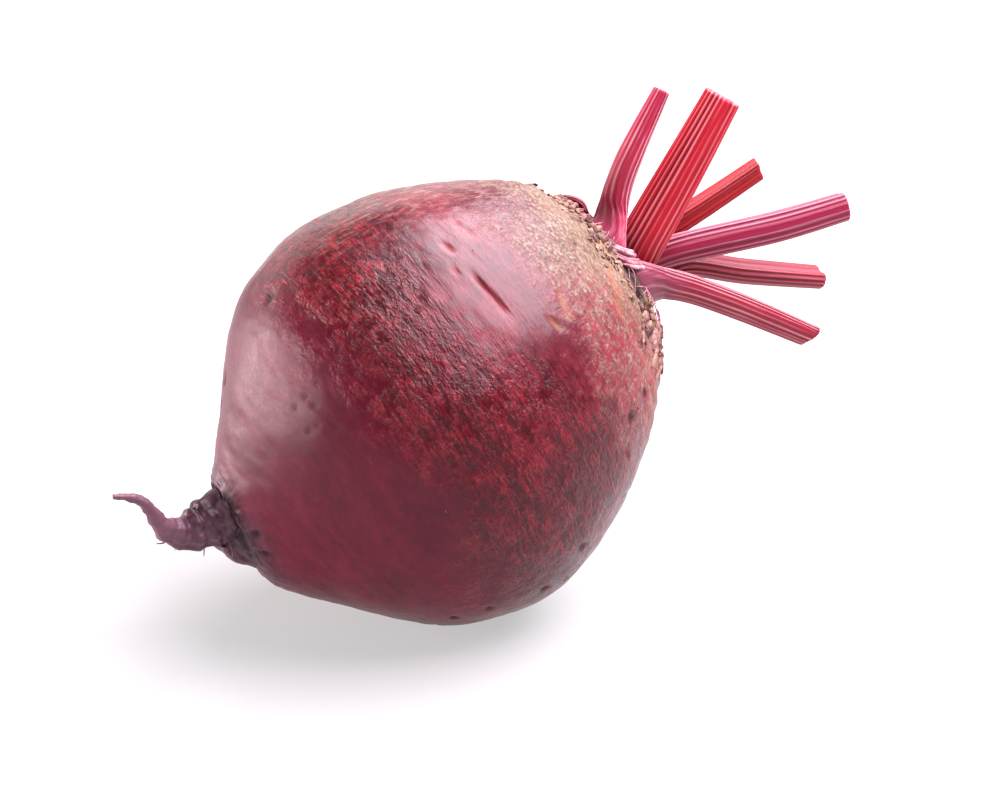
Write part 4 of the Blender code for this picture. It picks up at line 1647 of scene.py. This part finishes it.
@dataclass
class Rootlets:
    """Fine roots and root hairs on the tap root.

    Attributes:
        axes: The beet's own axes.
        root: The root's sizes.
        seed: Start of the random draws.
        hair_count: How many root hairs there are.
        below: Height below which they grow.
        thickest: Radius that they start from at most, so that they start inside the skin.
        named: Start, bend, end and radius of the rootlets that show. Bend and end count from the start.
    """

    axes: BeetAxes
    root: RootSkin
    seed: int = 31
    hair_count: int = 20
    below: float = 0.6
    thickest: float = 5.5
    named: tuple = (
        ((12.6, 3.2, -11.6), (-1.8, 0.1, -1.4), (-0.9, 0.3, -3.0), 0.28),
        ((10.4, 2.4, -10.4), (-1.6, 0.2, -0.8), (-2.6, 0.6, -2.0), 0.22),
        ((7.6, 3.0, -6.8), (-2.6, 0.6, -0.6), (-4.0, 1.0, -1.6), 0.25),
        ((6.0, 4.5, -2.5), (-3.5, 1.8, -0.8), (-5.2, 2.2, -1.9), 0.20),
    )

    def build(self) -> bpy.types.Object:
        """Builds the rootlets.

        Returns:
            The finished mesh object.
        """
        strands = Strands("rootlets")
        for start, bend, end, thick in self.named:
            points = np.array([start, np.add(start, bend), np.add(start, end)])
            strands.add(self.axes.place(points), thick, thick * 0.3)
        draw = np.random.default_rng(self.seed)
        line = self.root.stations()
        tail = line[line[:, 2] < self.below]
        for _ in range(self.hair_count):
            i = int(draw.integers(2, len(tail) - 2))
            centre, radius = tail[i, :3], min(tail[i, 3], self.thickest)
            along = unit(tail[i + 1, :3] - tail[i - 1, :3])
            first, second = ring_axes(along, RING_START)
            angle = draw.uniform(0, TURN)
            aside = first * math.cos(angle) + second * math.sin(angle)
            reach = draw.uniform(0.4, 1.3)
            drift = draw.normal(0, 0.6, 3) - along * draw.uniform(0.4, 1.6)
            start = centre + aside * radius * 0.85
            points = np.array([start, start + aside * reach * 0.7, start + aside * reach + drift * reach * 0.6])
            strands.add(self.axes.place(points), draw.uniform(0.04, 0.09), 0.02)
        finish = TissueFinish("fine_root", "3A1C26", "7E5260", "A87C88", grain=2.0, roughness=0.6)
        return strands.build(finish.material())


@dataclass
class CrownFibres:
    """Torn fibres that run from the feet of the stalks over the rim.

    Attributes:
        finder: Finds places on the root.
        seed: Start of the random draws.
        fibre_count: How many fibres are scattered round the crown.
        finger_angles: Angles of the thick fibres in front, in degrees.
        rim_radius: Distance of the rim from the crown's middle.
    """

    finder: SkinFinder
    seed: int = 41
    fibre_count: int = 44
    rim_radius: float = 17.0
    finger_angles: tuple = (60.0, 63.5, 68.5, 72.5, 77.0)

    def run(self, degrees: float, drift: float, inner: float, z: float, lift: float) -> np.ndarray:
        """Points of one fibre, from the crown over the rim.

        Args:
            degrees: Angle where it starts, on the crown.
            drift: How far it turns round the root on its way, in degrees.
            inner: Its start's distance from the crown's middle.
            z: Height of its end on the root's side.
            lift: How far its middle stands off the skin.

        Returns:
            The points, in the frame.
        """
        start, start_out = self.finder.crown(degrees, inner)
        middle, out = self.finder.crown(degrees + drift * 0.5, 0.5 * (inner + self.rim_radius))
        end, end_out = self.finder.side(degrees + drift, z)
        raised = middle + out * lift * MM
        return np.array([start + start_out * lift * 1.3 * MM, raised, end + end_out * 0.15 * MM])

    def build(self) -> bpy.types.Object:
        """Builds the fibres.

        Returns:
            The finished mesh object.
        """
        strands = Strands("crown_fibres")
        for k, degrees in enumerate(self.finger_angles):
            thick = 0.62 - 0.12 * (k % 3)
            strands.add(self.run(degrees, -15.0 - 2.0 * (k % 2), 12.0, 91.0 - 0.4 * (k % 2), 1.1), thick, 0.22)
        draw = np.random.default_rng(self.seed)
        for _ in range(self.fibre_count):
            degrees, drift = draw.uniform(-60, 300), draw.uniform(-14, 14)
            inner, z, lift = draw.uniform(12.5, 15.0), draw.uniform(89.0, 91.2), draw.uniform(0.2, 0.7)
            thick = draw.uniform(0.08, 0.2)
            strands.add(self.run(degrees, drift, inner, z, lift), thick, thick * 0.4)
        finish = TissueFinish("sheath_fibre", "7A3048", "B8707E", "D8A8A8", grain=1.6, roughness=0.55)
        return strands.build(finish.material())


@dataclass(frozen=True)
class Lenticels:
    """Breathing pores of the skin: small corky lips, longer round the root than up it.

    Attributes:
        density: How many there are on a square metre.
        length: Length of the longest.
        seed: Start of the random draws.
        smallest: Length, width and thickness of the smallest, as shares of that length.
        largest: The same for the largest.
        none_below: Height below which there are none.
        thin_to_thick: Heights between which they get denser, up the root.
        thin_share: Share of the density below those heights.
    """

    density: float = 16000.0
    length: float = 0.75
    seed: int = 8
    smallest: tuple = (0.35, 0.22, 0.10)
    largest: tuple = (1.0, 0.42, 0.28)
    none_below: float = 6.0
    thin_to_thick: tuple = (22.0, 80.0)
    thin_share: float = 0.12

    def build(self, skin: bpy.types.Object) -> bpy.types.Object:
        """Builds the lenticels.

        Args:
            skin: The finished root, whose skin they sit on.

        Returns:
            The finished mesh object.
        """
        tree, socket = new_geometry_tree(
            "skin_lenticels",
            {
                "Density": ("Float", self.density),
                "Length": ("Float", self.length * MM),
                "Seed": ("Int", self.seed),
                "Material": ("Material", None),
            },
        )
        height = node(tree, "GeometryNodeInputNamedAttribute", {"Name": "height"}, data_type="FLOAT")
        share = node(tree, "ShaderNodeMapRange", (height, *self.thin_to_thick, self.thin_share, 1.0))
        density = node(tree, "ShaderNodeMath", (share, socket["Density"]), operation="MULTIPLY")
        how = {"data_type": "FLOAT", "operation": "GREATER_THAN"}
        body = node(tree, "FunctionNodeCompare", (height, self.none_below), **how)
        strewn = {"Mesh": socket["Geometry"], "Selection": body, "Density": density, "Seed": socket["Seed"]}
        scattered = node(tree, "GeometryNodeDistributePointsOnFaces", strewn, distribute_method="RANDOM")
        normal = next(s for s in scattered.node.outputs if s.name == "Normal" and s.enabled)
        axis = tuple(float(v) for v in BeetAxes().point(UP))
        round_it = node(tree, "ShaderNodeVectorMath", (normal, axis), operation="CROSS_PRODUCT")
        turn = node(tree, "FunctionNodeAxesToRotation", (normal, round_it), primary_axis="Z", secondary_axis="X")
        limits = {"Min": self.smallest, "Max": self.largest, "Seed": socket["Seed"]}
        size = node(tree, "FunctionNodeRandomValue", limits, data_type="FLOAT_VECTOR")
        size = node(tree, "ShaderNodeVectorMath", {0: size, "Scale": socket["Length"]}, operation="SCALE")
        lip = node(tree, "GeometryNodeMeshUVSphere", (8, 5, 0.5))
        laid = {"Points": scattered, "Instance": lip, "Rotation": turn, "Scale": size}
        lips = node(tree, "GeometryNodeInstanceOnPoints", laid)
        finish_tree(tree, lips, socket["Material"])
        piece = bpy.data.objects.new("skin_lenticels", skin.data.copy())
        piece.data.name = piece.name
        bpy.context.scene.collection.objects.link(piece)
        finish = TissueFinish("lenticel_cork", "4E1A1E", "70302E", "94604E", grain=2.4, roughness=0.6)
        material = finish.material()
        grow(piece, tree, {"Material": material})
        piece.data.materials.clear()
        piece.data.materials.append(material)
        return piece


@dataclass(frozen=True)
class Softbox:
    """One soft light that faces the beet.

    Attributes:
        name: Name of the light.
        toward: Direction from the beet to it.
        distance: How far away it is, in metres.
        size: Its width and height, in metres.
        power: Its power, in watts.
        colour: Its colour.
        aim_z: Height that it faces, in metres.
    """

    name: str
    toward: tuple
    distance: float
    size: tuple
    power: float
    colour: str
    aim_z: float = 0.045

    def hang(self) -> None:
        """Makes the light and hangs it in its place."""
        data = bpy.data.lights.new(self.name, "AREA")
        data.shape = "RECTANGLE"
        data.size, data.size_y = self.size
        data.energy = self.power
        data.color = linear(self.colour)[:3]
        light = bpy.data.objects.new(self.name, data)
        direction = Vector(self.toward).normalized()
        light.location = Vector((0.0, 0.0, self.aim_z)) + direction * self.distance
        light.rotation_euler = direction.to_track_quat("Z", "Y").to_euler()
        light.visible_camera = False
        bpy.context.scene.collection.objects.link(light)


@dataclass
class Studio:
    """Pale floor, soft studio lights and the camera.

    Attributes:
        azimuth: Where the camera stands round the beet, in degrees.
        elevation: How far up it stands, in degrees.
        target: What it looks at, in metres.
        distance: How far away it is, in metres.
        lens: Its focal length.
        softboxes: The lights.
        world_light: Strength of the light from all round.
        floor_half: Half the floor's width, in metres.
        floor_drop: How far it is below the beet.
        paper_glow: How much the paper glows.
    """

    azimuth: float = -25.0
    elevation: float = 20.0
    target: tuple = (0.01083, -0.00336, 0.04305)
    distance: float = 0.5556
    lens: float = 100.0
    softboxes: tuple = (
        Softbox("key_softbox", (0.50, -0.02, 0.866), 0.9, (1.30, 0.78), 47.0, "FAF4FF"),
        Softbox("left_strip", (-0.866, 0.50, 0.035), 0.38, (0.40, 0.11), 1.95, "FFDFE5"),
        Softbox("back_softbox", (-0.05, 0.95, 0.30), 1.1, (1.4, 0.6), 2.6, "FFFFFF"),
    )
    world_light: float = 0.36
    floor_half: float = 3.0
    floor_drop: float = 0.05
    paper_glow: float = 0.50

    def add_camera(self) -> None:
        """Makes the camera and sets it as the scene's."""
        a, e = math.radians(self.azimuth), math.radians(self.elevation)
        away = Vector((math.sin(a) * math.cos(e), -math.cos(a) * math.cos(e), math.sin(e)))
        data = bpy.data.cameras.new("camera")
        data.lens = self.lens
        data.sensor_width = 36.0
        data.clip_start = 0.01
        camera = bpy.data.objects.new("camera", data)
        camera.location = Vector(self.target) + away * self.distance
        camera.rotation_euler = away.to_track_quat("Z", "Y").to_euler()
        bpy.context.scene.collection.objects.link(camera)
        bpy.context.scene.camera = camera

    def add_floor(self) -> None:
        """Lays the pale floor."""
        half, z = self.floor_half, -self.floor_drop * MM
        corners = np.array([[-half, -half, z], [half, -half, z], [half, half, z], [-half, half, z]])
        floor = new_piece("floor", corners, [(0, 1, 2, 3)], {})
        made, tree, shader = new_material("backlit_white_paper")
        look = {
            "Base Color": linear("8A8889"),
            "Emission Color": linear("FFFFFF"),
            "Emission Strength": self.paper_glow,
            "Roughness": 0.9,
            "Specular IOR Level": 0.1,
        }
        feed(tree, shader, look)
        floor.data.materials.append(made)

    def build(self) -> None:
        """Sets up the whole studio."""
        self.add_camera()
        self.add_floor()
        for softbox in self.softboxes:
            softbox.hang()
        world = bpy.data.worlds.new("studio")
        world.use_nodes = True
        look = {"Color": linear("FFFFFF"), "Strength": self.world_light}
        feed(world.node_tree, world.node_tree.nodes["Background"], look)
        bpy.context.scene.world = world
        bpy.context.scene.view_settings.view_transform = "Standard"


def leaf_stalks(axes: BeetAxes) -> list[LeafStalk]:
    """Lists the cut leaf stalks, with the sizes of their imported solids.

    Args:
        axes: The beet's own axes.

    Returns:
        The six stalks and the torn leaf base.
    """
    # Stalks 2 to 5 have dark feet: painted shade where their bases crowd among the others.
    return [
        LeafStalk(
            axes,
            "leaf_stalk_1",
            line=(
                (10.1, 4.1, 91.0, 6.8, 1.7),
                (10.3, 4.1, 94.2, 6.4, 1.9),
                (11.3, 3.2, 96.3, 5.0, 2.2),
                (12.8, 2.7, 98.4, 3.8, 2.4),
                (16.1, 3.1, 101.2, 3.1, 2.5),
                (21.0, 4.1, 106.4, 2.7, 2.4),
                (28.9, 5.0, 117.6, 1.8, 1.6),
            ),
            outward=(0.985, 0.17, -0.25),
            ribs=16,
            cut=(0.10, 0.12),
            skin=PetioleFinish("petiole_rose_1", groove="751535", side="B72748", ridge="D493A0", foot="A04A62"),
            seed=1,
        ),
        LeafStalk(
            axes,
            "leaf_stalk_2",
            line=(
                (-0.6, 2.8, 91.0, 4.2, 2.2),
                (-0.2, 2.9, 95.0, 4.4, 2.4),
                (3.0, 3.0, 100.6, 4.7, 2.6),
                (11.5, 3.0, 116.2, 4.3, 2.7),
                (18.2, 2.0, 129.5, 3.8, 2.6),
            ),
            outward=(0.45, 0.89, -0.2),
            ribs=22,
            cut=(-0.35, 0.0),
            skin=PetioleFinish("petiole_crimson_2", groove="6D0F1A", side="B11327", ridge="CD7277", foot="3C0812"),
            seed=2,
        ),
        LeafStalk(
            axes,
            "leaf_stalk_3",
            line=(
                (-1.2, -9.9, 90.5, 5.6, 1.7),
                (-1.5, -9.7, 94.0, 4.8, 1.9),
                (-3.4, -9.2, 101.0, 2.9, 2.3),
                (-5.2, -9.0, 113.4, 2.7, 2.3),
                (-7.3, -11.1, 134.4, 2.5, 2.1),
            ),
            outward=(0.05, -1.0, 0.0),
            ribs=17,
            cut=(0.35, 0.0),
            skin=PetioleFinish("petiole_crimson_3", groove="5A0309", side="930511", ridge="941C28", foot="2E040A"),
            seed=3,
        ),
        LeafStalk(
            axes,
            "leaf_stalk_4",
            line=(
                (-3.6, -3.0, 91.0, 2.5, 2.3),
                (-3.9, -2.8, 96.0, 2.7, 2.6),
                (-4.8, -1.4, 105.6, 3.2, 3.5),
                (-13.4, 1.0, 127.5, 3.4, 3.7),
                (-18.8, 2.0, 143.0, 3.3, 3.5),
            ),
            outward=(-0.93, 0.30, 0.0),
            ribs=18,
            cut=(0.05, 0.10),
            skin=PetioleFinish("petiole_rose_4", groove="580C26", side="8D1339", ridge="B47284", foot="400816"),
            seed=4,
        ),
        LeafStalk(
            axes,
            "leaf_stalk_5",
            line=(
                (-9.9, -3.2, 90.8, 5.0, 1.7),
                (-9.8, -3.4, 94.2, 4.5, 2.0),
                (-10.0, -4.7, 100.5, 3.0, 2.3),
                (-12.2, -6.1, 108.6, 3.0, 2.6),
                (-22.9, -7.0, 120.0, 3.0, 2.7),
                (-36.2, -9.0, 135.0, 2.8, 2.5),
            ),
            outward=(-0.94, -0.34, -0.3),
            ribs=16,
            cut=(0.05, -0.06),
            skin=PetioleFinish("petiole_rose_5", groove="4A0616", side="80071D", ridge="A44256", foot="2E040C"),
            seed=5,
        ),
        LeafStalk(
            axes,
            "leaf_stalk_6",
            line=(
                (-1.6, 10.9, 90.5, 7.4, 1.6),
                (-1.6, 10.8, 93.8, 7.4, 1.8),
                (-2.5, 10.4, 95.9, 5.6, 2.0),
                (-4.3, 10.1, 98.2, 3.7, 2.3),
                (-8.9, 10.8, 102.6, 3.0, 2.4),
                (-18.5, 12.5, 109.8, 2.8, 2.2),
                (-31.8, 14.0, 118.9, 2.5, 1.9),
            ),
            outward=(-0.34, 0.94, -0.3),
            ribs=18,
            cut=(0.05, -0.60),
            skin=PetioleFinish("petiole_rose_6", groove="580D21", side="8F1630", ridge="BD7B83", foot="8B556C"),
            seed=6,
        ),
        LeafStalk(
            axes,
            "torn_leaf_base",
            line=(
                (9.5, -5.9, 91.5, 2.9, 0.9),
                (10.6, -6.4, 94.0, 2.9, 1.0),
                (12.3, -7.3, 94.9, 2.7, 1.1),
                (14.2, -8.2, 93.9, 2.2, 1.0),
                (15.6, -8.8, 92.2, 1.5, 0.8),
            ),
            outward=(0.55, -0.35, 0.75),
            ribs=11,
            cut=(0.2, 0.5),
            skin=PetioleFinish("dried_leaf_base", groove="3A0610", side="7A0C22", ridge="9C3A48", foot="5A222A"),
            seed=7,
            clasps=False,
            torn=1.6,
        ),
    ]


def main() -> None:
    """Builds the beetroot piece by piece, and the studio round it."""
    logging.basicConfig(level=logging.INFO, format="%(name)s: %(message)s")
    axes = BeetAxes()
    root = RootSkin(axes)
    skin = dress(root.build(PeridermFinish().material()), "beet_skin", "root")
    cut_finish = TissueFinish("cut_petiole_face", "5E1A30", "824A54", "967068", grain=0.7, roughness=0.5)
    cut_face = cut_finish.material()
    stalks = leaf_stalks(axes)
    for stalk in stalks:
        slot = "torn_leaf" if stalk.torn else "beet_stalk"
        dress(stalk.build(cut_face), slot, stalk.node_name)
    bundles = [bit for stalk in stalks if not stalk.torn for bit in stalk.bundles]
    bundle_finish = TissueFinish("vascular_bundle", "703644", "8E6460", "9E8274", grain=0.8, roughness=0.4)
    lumps = LumpTree(segments=8, rings=6, raggedness=0.03)
    dress(lump_piece("vascular_bundles", bundles, bundle_finish.material(), lumps), "beet_stalk")
    finder = SkinFinder(axes, skin)
    tissue = CrownTissue(finder)
    dress(tissue.rim_crust(), "beet_skin")
    dress(tissue.bracts(), "torn_leaf")
    dress(tissue.shreds(), "torn_leaf")
    dress(CrownFibres(finder).build(), "beet_stalk")
    dress(Rootlets(axes, root).build(), "beet_skin")
    dress(Lenticels().build(skin), "beet_skin")
    Studio().build()


if __name__ == "__main__":
    main()
